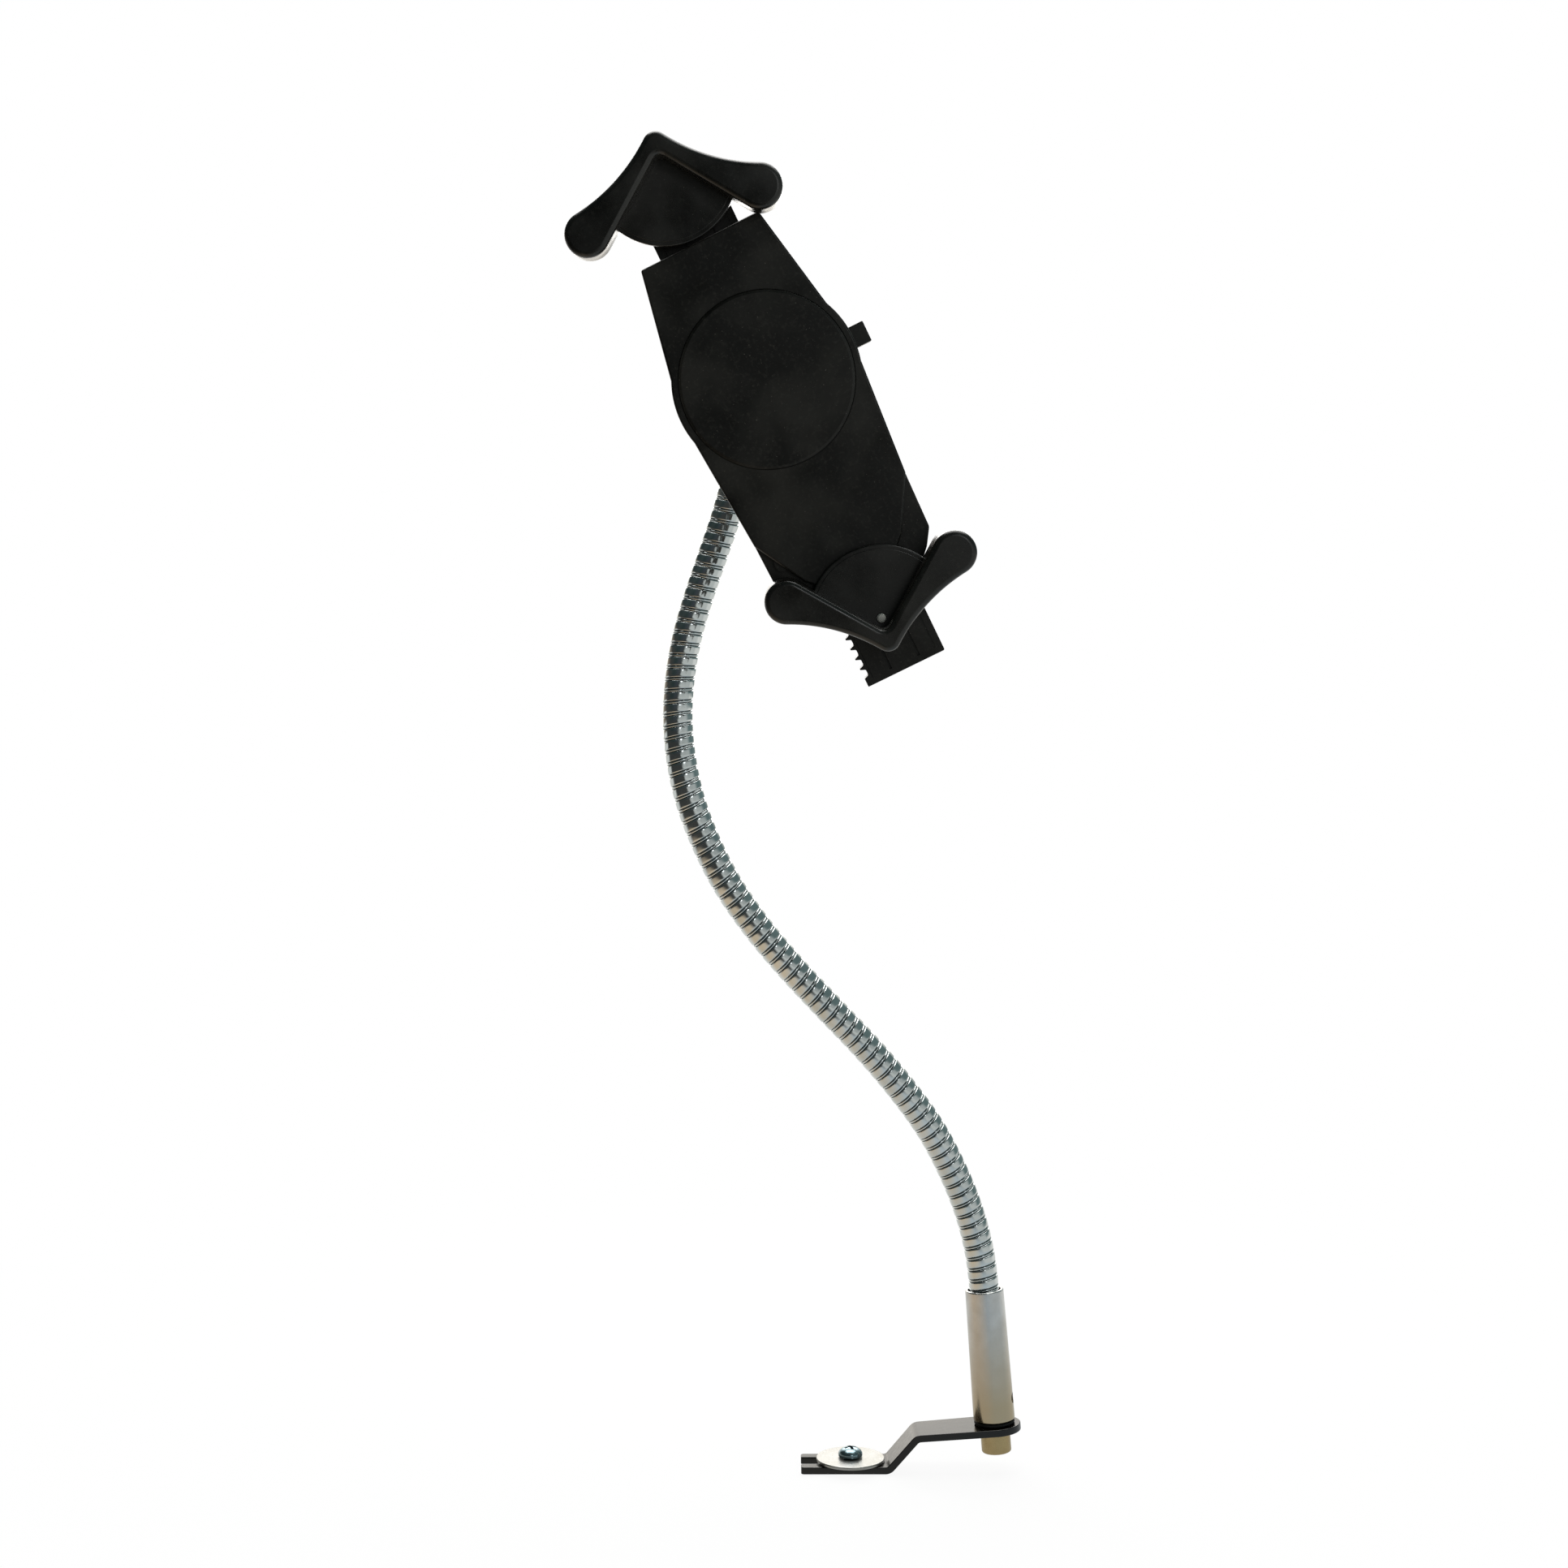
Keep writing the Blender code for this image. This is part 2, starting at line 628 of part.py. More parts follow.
def gooseneck():
    line = neck_line()
    joints = neck_joints(line)
    stations = [0.0] + [joint[2] for joint in joints] + [line[1][-1]]
    for index in range(NECK_SEGMENTS):
        start = stations[index] + (NECK_JOINT_GAP / 2 if index else 0)
        end = stations[index + 1] - (NECK_JOINT_GAP / 2 if index < NECK_SEGMENTS - 1 else 0)
        origin = joints[index - 1][0] if index else NECK_ROUTE[0]
        points = neck_stretch(line, start, end)
        tube = neck_piece(f"neck_segment_{index + 1}", points, NECK_RADIUS, origin, neck_chrome())
        bore = rod_mesh(f"neck_bore_{index + 1}", [point - origin for point in extended(points, 2 * MM)],
                        NECK_RADIUS - NECK_WALL, 4)
        tool(tube, bore, "DIFFERENCE")
        inner = neck_stretch(line, start + CORE_RECESS, end - CORE_RECESS)
        neck_piece(f"neck_core_{index + 1}", inner, CORE_RADIUS, origin, core_steel())


def neck_collar():
    bore = NECK_RADIUS + 0.5 * MM
    stud_bore = STUD_RADIUS
    edge = 0.6 * MM
    floor = COLLAR_START + 5.0 * MM
    profile = [(bore, COLLAR_END), (COLLAR_RADIUS - edge, COLLAR_END), (COLLAR_RADIUS, COLLAR_END - edge),
               (COLLAR_RADIUS, COLLAR_START + 2 * edge), (COLLAR_RADIUS - 2 * edge, COLLAR_START),
               (stud_bore, COLLAR_START), (stud_bore, floor), (bore, floor)]
    return turned("neck_collar", profile, nickel(), STUD)


def ball_profile(steps=10):
    """From the far pole round to where the shank leaves the ball."""
    last = math.asin(STUD_RADIUS / BALL_RADIUS)
    points = []
    for step in range(steps + 1):
        angle = math.pi - (math.pi - last) * step / steps
        points.append((BALL_RADIUS * math.sin(angle), BALL_RADIUS * math.cos(angle)))
    points[0] = (0.0, -BALL_RADIUS)
    return points


def ball_stud():
    shank_end = COLLAR_START + 4.6 * MM
    thread = STUD_RADIUS - GAP
    top = [(0, shank_end), (thread, shank_end), (thread, COLLAR_START - GAP), (STUD_RADIUS, COLLAR_START - GAP)]
    return turned("ball_stud", top + ball_profile()[::-1], nickel(), STUD)


# ---------------------------------------------------------------- head joint

def ball_seat():
    """A split cup between the ball and the ring, as a turned zone of a sphere."""
    last = math.radians(122.0)
    steps = 6
    angles = [SEAT_OPENING + (last - SEAT_OPENING) * step / steps for step in range(steps + 1)]
    outer = [(SEAT_OUTER_RADIUS * math.sin(angle), SEAT_OUTER_RADIUS * math.cos(angle)) for angle in angles]
    inner = [(SEAT_INNER_RADIUS * math.sin(angle), SEAT_INNER_RADIUS * math.cos(angle)) for angle in angles]
    return turned("ball_seat", outer + inner[::-1], seat_nylon(), SOCKET)


def lock_ring():
    """The clamp ring: a cylinder round the boss, then a spherical lip behind the seat."""
    front = BOSS_DEPTH - BALL_DEPTH - 7.0 * MM
    back = front + RING_LENGTH
    bore = BOSS_RADIUS + GAP
    ledge = BOSS_DEPTH - BALL_DEPTH + GAP
    steps = 6
    lip_start = math.acos(ledge / CUP_RADIUS)
    lip = []
    for step in range(steps + 1):
        angle = lip_start + (RING_OPENING - lip_start) * step / steps
        lip.append((CUP_RADIUS * math.sin(angle), CUP_RADIUS * math.cos(angle)))
    edge = 1.2 * MM
    mouth = lip[-1][0] + (back - lip[-1][1]) * math.tan(RING_OPENING)
    profile = [(mouth, back), (RING_RADIUS - 2 * edge, back), (RING_RADIUS, back - 2 * edge),
               (RING_RADIUS, front + edge), (RING_RADIUS - edge, front), (bore, front), (bore, ledge)]
    item = turned("lock_ring", profile + lip, bar_plastic(), SOCKET, steps=40)
    grips = 10
    for index in range(grips):
        angle = 2 * math.pi * index / grips
        place = ((RING_RADIUS + 1.3 * MM) * math.cos(angle), (RING_RADIUS + 1.3 * MM) * math.sin(angle))
        groove = cylinder_mesh(f"grip_{index}", 2.4 * MM, front - 2 * MM, back + 2 * MM, 12, place, "Z")
        tool(item, groove, "DIFFERENCE")
    return item


# ---------------------------------------------------------------- housing

def housing_outline(inset=0.0):
    """The whole housing from the front, drawn inset from its edge."""
    bulge = DISC_BULGE_RADIUS - inset
    half = [(HOUSING_TOP_HALF - inset, HOUSING_TOP - inset)]
    half += arc((0, 0), bulge, DISC_BULGE_START, DISC_BULGE_END, 10)
    half += [(HOUSING_SHOULDER.x - inset, HOUSING_SHOULDER.y), (HOUSING_HIP.x - inset, HOUSING_HIP.y)]
    half.append((HOUSING_FLANK.x - inset, HOUSING_FLANK.y + inset / 2))
    half += arc((0, LOWER_PIVOT.z), NOSE_RADIUS - inset, NOSE_START, -math.pi / 2, 5)
    return mirrored(half)


def raised_outline(inset=0.0):
    """The raised front face, narrowed to a tongue between the lower jaw's arms."""
    half = [(HOUSING_TOP_HALF - inset, HOUSING_TOP - inset)]
    half += arc((0, 0), DISC_BULGE_RADIUS - inset, DISC_BULGE_START, DISC_BULGE_END, 10)
    half += [(HOUSING_SHOULDER.x - inset, HOUSING_SHOULDER.y)]
    half += [(corner.x - inset, corner.y) for corner in TONGUE[:2]]
    half.append((TONGUE[2].x - inset, TONGUE[2].y + inset))
    return mirrored(half)


def bar_slots(item, front, back):
    """Openings for the bar in the top and bottom ends of a shell."""
    half = BAR_HALF_WIDTH + GAP
    for name, low, high in (("top", 45 * MM, 60 * MM), ("bottom", -110 * MM, -70 * MM)):
        tool(item, box_mesh(f"{item.name}_slot_{name}", (-half, front, low), (half, back, high)), "DIFFERENCE")


def button_notch(item):
    half = BUTTON_HALF_HEIGHT + GAP
    low = (28 * MM, BUTTON_DEPTH[0] - GAP, -half)
    high = (40 * MM, BUTTON_DEPTH[1] + GAP, half)
    tool(item, box_mesh(f"{item.name}_notch", low, high), "DIFFERENCE")


def pilot_holes(item, radius, front, back, label):
    for index, place in enumerate(SCREW_PLACES):
        hole = cylinder_mesh(f"{item.name}_{label}_{index}", radius, front, back, 16, (place.x, place.z))
        tool(item, hole, "DIFFERENCE")


def front_shell():
    mesh = plate_mesh("front_shell", housing_outline(), STEP_DEPTH, SHELL_SPLIT)
    item = add_object("front_shell", mesh, shell_plastic(), HEAD)
    tool(item, plate_mesh("raised_face", raised_outline(), 0, STEP_DEPTH + 1.0 * MM), "UNION")
    tool(item, plate_mesh("front_pocket", housing_outline(WALL), 5.2 * MM, SHELL_SPLIT + 2 * MM), "DIFFERENCE")
    tool(item, plate_mesh("raised_pocket", raised_outline(2 * WALL), FRONT_WALL, 5.6 * MM), "DIFFERENCE")
    for index, place in enumerate(SCREW_PLACES):
        post = cylinder_mesh(f"front_post_{index}", 3.1 * MM, FRONT_WALL - 0.5 * MM, SHELL_SPLIT, 16,
                             (place.x, place.z))
        tool(item, post, "UNION")
    pilot_holes(item, 1.45 * MM, 3.6 * MM, 12 * MM, "pilot")
    bar_slots(item, 5.2 * MM, SHELL_SPLIT + 2 * MM)
    button_notch(item)
    pad = cylinder_mesh("pad_recess", PAD_RADIUS + GAP, -3 * MM, PAD_RECESS, 64)
    tool(item, pad, "DIFFERENCE")
    pin = cylinder_mesh("nose_hole", PIN_RADIUS + GAP, -3 * MM, 9 * MM, 16, (LOWER_PIVOT.x, LOWER_PIVOT.z))
    tool(item, pin, "DIFFERENCE")
    return item


def rear_shell():
    front = SHELL_SPLIT + GAP
    wall_front = HOUSING_DEPTH - FRONT_WALL
    mesh = plate_mesh("rear_shell", housing_outline(), front, HOUSING_DEPTH)
    item = add_object("rear_shell", mesh, shell_plastic(), HEAD)
    tool(item, plate_mesh("rear_pocket", housing_outline(WALL), front - 2 * MM, wall_front), "DIFFERENCE")
    bar_back = BAR_FRONT + BAR_THICKNESS
    for side in (-1, 1):
        for label, low, high in (("upper", 8.6 * MM, 51 * MM), ("lower", -76 * MM, -8.6 * MM)):
            guide = box_mesh(f"guide_{label}_{side}", (-0.75 * MM, front, low),
                             (0.75 * MM, wall_front + MM, high))
            guide.transform(Matrix.Translation((side * (BAR_HALF_WIDTH + GAP + 0.75 * MM), 0, 0)))
            tool(item, guide, "UNION")
            rail = box_mesh(f"rail_{label}_{side}", (-MM, bar_back + GAP, low), (MM, wall_front + MM, high))
            rail.transform(Matrix.Translation((side * 9 * MM, 0, 0)))
            tool(item, rail, "UNION")
    for index, place in enumerate(SCREW_PLACES):
        post = cylinder_mesh(f"rear_post_{index}", 3.1 * MM, front, wall_front + MM, 16, (place.x, place.z))
        tool(item, post, "UNION")
    boss = cylinder_mesh("socket_boss", BOSS_RADIUS, HOUSING_DEPTH - MM, BOSS_DEPTH, 40)
    tool(item, boss, "UNION")
    tool(item, sphere_mesh("socket_cup", CUP_RADIUS, (0, BALL_DEPTH, 0)), "DIFFERENCE")
    pilot_holes(item, 1.45 * MM, 5 * MM, 25 * MM, "through")
    pilot_holes(item, 2.9 * MM, 16.7 * MM, 25 * MM, "counterbore")
    bar_slots(item, front - 2 * MM, bar_back + GAP)
    button_notch(item)
    return item


def housing_screws():
    for index, place in enumerate(SCREW_PLACES):
        frame = empty(f"screw_place_{index + 1}", Matrix.Translation(place) @ Matrix.Rotation(-math.pi / 2, 4, "X"),
                      HEAD)
        seat = 17.0 * MM
        top = seat + 1.6 * MM
        tip = 4.0 * MM
        profile = [(0, top), (2.0 * MM, top), (2.6 * MM, top - 0.6 * MM), (2.6 * MM, seat),
                   (1.15 * MM, seat), (1.15 * MM, tip + MM), (0.4 * MM, tip), (0, tip)]
        item = turned(f"housing_screw_{index + 1}", profile, blue_zinc(), frame, steps=16)
        cross_recess(item, top, 1.0 * MM, 0.6 * MM, 2.8 * MM)


def front_pad():
    mesh = cylinder_mesh("front_pad", PAD_RADIUS, -PAD_PROUD, PAD_RECESS - GAP, 64)
    return add_object("front_pad", mesh, pad_rubber(), HEAD)


# ---------------------------------------------------------------- clamp

def bar_outline():
    """The bar from the front: plain right edge, saw teeth up its left edge."""
    half = BAR_HALF_WIDTH
    root = -half + TOOTH_DEPTH
    crown = UPPER_PIVOT.z + 6.5 * MM
    top = [(half, BAR_SHOULDER), (half * 0.52, crown - 3 * MM), (half * 0.34, crown), (-half * 0.34, crown),
           (-half * 0.52, crown - 3 * MM), (-half, BAR_SHOULDER)]
    teeth = []
    for index in reversed(range(1, TOOTH_COUNT)):
        tip = BAR_BOTTOM + FIRST_TOOTH + index * TOOTH_PITCH
        teeth += [(root, tip + TOOTH_FOOT), (-half, tip + TOOTH_TIP), (-half, tip - TOOTH_TIP),
                  (root, tip - TOOTH_FOOT)]
    above = BAR_BOTTOM + FIRST_TOOTH + TOOTH_COUNT * TOOTH_PITCH
    below = BAR_BOTTOM + FIRST_TOOTH
    teeth = [(-half, above - TOOTH_TIP), (root, above - TOOTH_FOOT)] + teeth
    teeth += [(root, below + TOOTH_FOOT), (-half, below + TOOTH_TIP)]
    return top + teeth + [(-half, BAR_BOTTOM), (half, BAR_BOTTOM)]


def ratchet_bar():
    back = BAR_FRONT + BAR_THICKNESS
    item = add_object("ratchet_bar", plate_mesh("ratchet_bar", bar_outline(), BAR_FRONT, back), bar_plastic(), HEAD)
    for index, x in enumerate(BAR_GROOVES):
        low = (x - BAR_GROOVE_WIDTH / 2, BAR_FRONT - MM, BAR_BOTTOM + 2.4 * MM)
        high = (x + BAR_GROOVE_WIDTH / 2, BAR_FRONT + BAR_GROOVE_DEPTH, 60 * MM)
        tool(item, box_mesh(f"bar_groove_{index}", low, high), "DIFFERENCE")
    hole = cylinder_mesh("bar_pin_hole", PIN_RADIUS + GAP, 0, 20 * MM, 16, (UPPER_PIVOT.x, UPPER_PIVOT.z))
    tool(item, hole, "DIFFERENCE")
    return item


def angle_from(centre, point):
    return math.atan2(point.y - centre.y, point.x - centre.x)


def jaw_outline():
    """A V that opens downwards: waisted arms with round ends, and its inner corner above the pivot."""
    along = Vector((math.sin(JAW_HALF_ANGLE), -math.cos(JAW_HALF_ANGLE)))
    outward = Vector((math.cos(JAW_HALF_ANGLE), math.sin(JAW_HALF_ANGLE)))
    corner = Vector((0, JAW_CORNER))
    lobe = corner + along * JAW_REACH + outward * JAW_LOBE_RADIUS
    rise = JAW_LOBE_RADIUS - JAW_WAIST
    sweep = (JAW_REACH ** 2 + rise ** 2 - JAW_LOBE_RADIUS ** 2) / (2 * (JAW_LOBE_RADIUS + rise))
    hollow = corner + outward * (JAW_WAIST + sweep)         # centre of the arm's concave outer edge
    drop = math.sqrt((sweep + JAW_APEX_RADIUS) ** 2 - hollow.x ** 2)
    apex = Vector((0, hollow.y - drop))
    half = arc(apex, JAW_APEX_RADIUS, math.pi / 2, angle_from(apex, hollow), 4)
    half += arc(hollow, sweep, angle_from(hollow, apex), angle_from(hollow, lobe), 8)[1:]
    half += arc(lobe, JAW_LOBE_RADIUS, angle_from(lobe, hollow), JAW_HALF_ANGLE - math.pi, 12)[1:]
    inner_top = corner - Vector((0, JAW_INNER_RADIUS * (1 / math.sin(JAW_HALF_ANGLE) - 1)))
    inner_side = corner + along * JAW_INNER_RADIUS / math.tan(JAW_HALF_ANGLE)
    half += [tuple(inner_side), tuple(inner_side.lerp(inner_top, 0.5) + Vector((0, 0.15 * MM))), tuple(inner_top)]
    return mirrored(half)


def sector_outline():
    """The web that joins the arms: part of a disc about the pivot."""
    rim = arc((0, 0), SECTOR_RADIUS, -math.pi / 2 - SECTOR_HALF_ANGLE, -math.pi / 2 + SECTOR_HALF_ANGLE, 16)
    return [(0, JAW_CORNER + 3 * MM)] + rim


def jaw(name, pivot, turn, back, hub_back, hole_front):
    """One corner jaw, with its origin on the pivot."""
    item = add_object(name, plate_mesh(name, jaw_outline(), JAW_FRONT, back), jaw_plastic(), HEAD, pivot)
    item.rotation_euler = (0, turn, 0)
    tool(item, plate_mesh(f"{name}_sector", sector_outline(), SECTOR_FRONT, SECTOR_BACK), "UNION")
    hub = cylinder_mesh(f"{name}_hub", HUB_RADIUS, SECTOR_FRONT + MM, hub_back, 24)
    tool(item, hub, "UNION")
    hole = cylinder_mesh(f"{name}_hole", PIN_RADIUS + GAP, hole_front, 20 * MM, 16)
    tool(item, hole, "DIFFERENCE")
    return item


def pivot_pin(name, pivot, head, end):
    """A round pin with a low domed head, from Y = head to Y = end."""
    frame = empty(f"{name}_place", Matrix.Translation(pivot) @ Matrix.Rotation(math.pi / 2, 4, "X"), HEAD)
    profile = [(0, -head), (0.7 * PIN_RADIUS, -head - 0.15 * MM), (PIN_RADIUS, -head - 0.5 * MM),
               (PIN_RADIUS, -end), (0, -end)]
    return turned(name, profile, pin_steel(), frame, steps=20)


# ---------------------------------------------------------------- release

def release_button():
    low = (BUTTON_FACE_X - 9.2 * MM, BUTTON_DEPTH[0], -BUTTON_HALF_HEIGHT)
    high = (BUTTON_FACE_X, BUTTON_DEPTH[1], BUTTON_HALF_HEIGHT)
    item = add_object("release_button", box_mesh("release_button", low, high), bar_plastic(), HEAD)
    flange = box_mesh("button_flange", (26.9 * MM, BUTTON_DEPTH[0], -5.4 * MM),
                      (30.4 * MM, BUTTON_DEPTH[1], 5.4 * MM))
    tool(item, flange, "UNION")
    return item


def latch_slide():
    """The slide behind the bar: a pawl at its left end, the button's arm at its right."""
    half = LATCH_HALF_HEIGHT
    overlap = LATCH_DEPTH[0] + MM
    arm_front = BAR_FRONT + 0.4 * MM
    arm_back = BAR_FRONT + BAR_THICKNESS - 0.4 * MM
    plate = box_mesh("latch_slide", (LATCH_LEFT[0], LATCH_DEPTH[0], -half), (LATCH_RIGHT[1], LATCH_DEPTH[1], half))
    item = add_object("latch_slide", plate, bar_plastic(), HEAD)
    button_arm = box_mesh("latch_right_arm", (LATCH_RIGHT[0], BUTTON_DEPTH[0] + 0.2 * MM, -half),
                          (LATCH_RIGHT[1], overlap, half))
    tool(item, button_arm, "UNION")
    pawl_arm = box_mesh("latch_left_arm", (LATCH_LEFT[0], arm_front, -half), (LATCH_LEFT[1], overlap, half))
    tool(item, pawl_arm, "UNION")
    root = LATCH_LEFT[1] - 0.5 * MM
    tooth = [(root, 2.2 * MM), (PAWL_TIP_X, 0.5 * MM), (PAWL_TIP_X, -0.2 * MM), (root, -1.6 * MM)]
    tool(item, plate_mesh("latch_tooth", tooth, arm_front, arm_back), "UNION")
    spigot = cylinder_mesh("latch_spigot", 1.4 * MM, LATCH_LEFT[0] - 3.1 * MM, LATCH_LEFT[0] + 0.4 * MM, 12,
                           (SPRING_DEPTH, 0), "X")
    tool(item, spigot, "UNION")
    return item


def latch_spring():
    turns = 5
    steps = 50
    start, end = SPRING_ENDS
    points = []
    for step in range(steps + 1):
        share = step / steps
        angle = 2 * math.pi * turns * share
        points.append(Vector((start + (end - start) * share, SPRING_DEPTH + SPRING_RADIUS * math.cos(angle),
                              SPRING_RADIUS * math.sin(angle))))
    return add_object("latch_spring", rod_mesh("latch_spring", points, SPRING_WIRE, 1), pin_steel(), HEAD)


# ---------------------------------------------------------------- build

clear_scene()
PARTS = collection("gooseneck_tablet_holder")
CUTTERS = collection("cutters")
POST_TOP = PLATE_BEND.y + (POST_X - PLATE_BEND.x) * math.tan(PLATE_SLOPE) + STRIP_THICKNESS / math.cos(PLATE_SLOPE)
POST = empty("post_axis", Matrix.Translation((POST_X, 0, POST_TOP)) @ Matrix.Rotation(-PLATE_SLOPE, 4, "Y"))
HEAD_MATRIX = (Matrix.Translation(HEAD_CENTRE) @ Matrix.Rotation(HEAD_TILT, 4, "X")
               @ Matrix.Rotation(HEAD_LEAN, 4, "Y"))
HEAD = empty("head_frame", HEAD_MATRIX)
SOCKET = empty("socket_axis", Matrix.Translation((0, BALL_DEPTH, 0)) @ Matrix.Rotation(-math.pi / 2, 4, "X"), HEAD)
STUD = empty("stud_axis", Matrix.Translation(HEAD_MATRIX @ Vector((0, BALL_DEPTH, 0)))
             @ STUD_DIRECTION.to_track_quat("Z", "Y").to_matrix().to_4x4())

offset_bracket()
fender_washer()
floor_screw()
post_screw()
swivel_washer()
base_ferrule()
ferrule_set_screw()
gooseneck()
neck_collar()
ball_stud()
ball_seat()
lock_ring()
rear_shell()
front_shell()
housing_screws()
front_pad()
ratchet_bar()
jaw("upper_jaw", UPPER_PIVOT, UPPER_TURN, UPPER_JAW_BACK, BAR_FRONT - GAP, SECTOR_FRONT + SECTOR_SKIN)
jaw("lower_jaw", LOWER_PIVOT, math.pi + LOWER_TURN, LOWER_JAW_BACK, STEP_DEPTH - GAP, JAW_FRONT)
pivot_pin("upper_pivot_pin", UPPER_PIVOT, SECTOR_FRONT + SECTOR_SKIN + GAP, BAR_FRONT + BAR_THICKNESS)
pivot_pin("lower_pivot_pin", LOWER_PIVOT, SECTOR_FRONT - PIN_PROUD, LOWER_PIN_END)
release_button()
latch_slide()
latch_spring()
bpy.context.view_layer.update()
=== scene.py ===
import json
import math

import bmesh
import bpy
import numpy as np
from mathutils import Matrix, Vector


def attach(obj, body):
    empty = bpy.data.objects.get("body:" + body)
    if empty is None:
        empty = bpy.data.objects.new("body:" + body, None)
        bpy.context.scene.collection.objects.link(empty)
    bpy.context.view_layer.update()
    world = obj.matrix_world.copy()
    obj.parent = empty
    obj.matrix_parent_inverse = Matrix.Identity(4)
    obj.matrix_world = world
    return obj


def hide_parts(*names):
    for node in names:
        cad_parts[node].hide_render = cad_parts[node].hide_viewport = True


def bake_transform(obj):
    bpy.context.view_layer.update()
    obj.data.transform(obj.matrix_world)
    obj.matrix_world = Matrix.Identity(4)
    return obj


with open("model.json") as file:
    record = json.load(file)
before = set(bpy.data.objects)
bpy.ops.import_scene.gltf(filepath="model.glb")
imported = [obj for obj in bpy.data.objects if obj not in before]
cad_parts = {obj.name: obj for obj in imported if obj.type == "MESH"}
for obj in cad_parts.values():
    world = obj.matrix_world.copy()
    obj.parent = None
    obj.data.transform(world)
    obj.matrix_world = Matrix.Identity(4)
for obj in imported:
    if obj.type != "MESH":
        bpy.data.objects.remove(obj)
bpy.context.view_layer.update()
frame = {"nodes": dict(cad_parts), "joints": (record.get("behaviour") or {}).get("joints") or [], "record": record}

MM = 0.001
TO_METRES = Matrix.Scale(MM, 4)
JOINTS = {joint["name"]: joint for joint in frame["joints"]}
MOUNTS = {mount["name"]: mount for mount in frame["record"]["mounts"]}

# Shapes are in millimetres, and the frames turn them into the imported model's metres.
# The head's frame has X to the right, Y into the head and Z up its bar.
PAD_PROUD = 0.8
UPPER_TURN = math.radians(10.9)
LOWER_TURN = math.radians(9.8)
BALL_DEPTH = 30.0
BALL_RADIUS = 8.0
BALL_CUP = 10.5
BOSS_RADIUS = 14.5
BOSS_DEPTH = 28.0
STUD_DIRECTION = Vector((-0.107, 0.978, -0.177)).normalized()
SHELL_SPLIT = 8.0
SHELL_GAP = 0.3
HOUSING_DEPTH = 19.0
STEP_DEPTH = 3.2
WALL = 2.2
PAD_RADIUS = 31.1
BULGE_RADIUS = 33.75
NOSE_RADIUS = 8.0
BAR_HALF = 15.3
BAR_FRONT = 5.5
BAR_BACK = 10.5
BAR_BOTTOM = -114.0
TOOTH_PITCH = 4.0
TOOTH_COUNT = 30
UPPER_PIVOT = Vector((-0.6, 0.0, 80.05))
LOWER_PIVOT = Vector((-0.3, 0.0, -92.9))
PIN_RADIUS = 1.75
SCREW_PLACES = ((20.4, 42.5), (-20.4, 42.5), (23.4, -60.0), (-23.4, -60.0))
NECK_PITCH = 4.6
NECK_ROUTE = [Vector(point) for point in (
    (46.1, 0.0, 57.7), (44.9, 0.0, 72.7), (42.8, 0.0, 88.6), (38.4, -0.5, 105.2), (31.6, -2.0, 121.9),
    (22.6, -4.5, 138.8), (10.6, -7.5, 155.6), (-3.5, -10.5, 172.4), (-19.1, -13.5, 189.0),
    (-34.2, -16.0, 205.4), (-47.7, -18.5, 221.8), (-58.8, -20.5, 238.0), (-67.1, -22.0, 254.2),
    (-73.2, -23.5, 270.3), (-76.9, -24.5, 286.3), (-78.5, -25.0, 302.4), (-77.8, -25.5, 318.4),
    (-75.2, -26.0, 334.3), (-70.7, -26.8, 350.3), (-65.3, -28.0, 366.1), (-59.6, -29.8, 382.5),
    (-54.5, -34.0, 399.0), (-49.4, -44.7, 412.6), (-45.8, -58.1, 419.1), (-44.5, -69.8, 421.2))]


# ---------------------------------------------------------------- frames

def placed(origin, turn):
    """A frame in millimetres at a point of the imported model."""
    return Matrix.Translation(origin) @ turn.to_4x4() @ TO_METRES


def head_frame():
    up = Vector(JOINTS["bar_slide"]["axis"]).normalized()
    front = Vector(JOINTS["upper_jaw_pivot"]["axis"]).normalized()
    origin = Vector(MOUNTS["front_pad_face"]["pos_m"]) - front * PAD_PROUD * MM
    return placed(origin, Matrix((up.cross(front), -front, up)).transposed())


def post_frame():
    axis = Vector(JOINTS["ferrule_swivel"]["axis"]).normalized()
    across = Vector((0, 1, 0)).cross(axis)
    return placed(JOINTS["ferrule_swivel"]["pos_m"], Matrix((across, (0, 1, 0), axis)).transposed())


def stud_frame():
    return placed(JOINTS["head_pan"]["pos_m"], STUD_DIRECTION.to_track_quat("Z", "Y").to_matrix())


def jaw_frame(pivot, turn):
    return HEAD @ Matrix.Translation(pivot) @ Matrix.Rotation(turn, 4, "Y")


def facing(matrix, place, towards_front):
    """A frame at a place in the head whose Z points out of the head's front or its back."""
    turn = math.pi / 2 if towards_front else -math.pi / 2
    return matrix @ Matrix.Translation(place) @ Matrix.Rotation(turn, 4, "X")


# ---------------------------------------------------------------- outlines

def arc(centre, radius, start, end, steps):
    """Points (x, z, 0) on an arc, with its angles in degrees."""
    points = []
    for step in range(steps + 1):
        angle = math.radians(start + (end - start) * step / steps)
        points.append((centre[0] + radius * math.cos(angle), centre[1] + radius * math.sin(angle), 0))
    return points


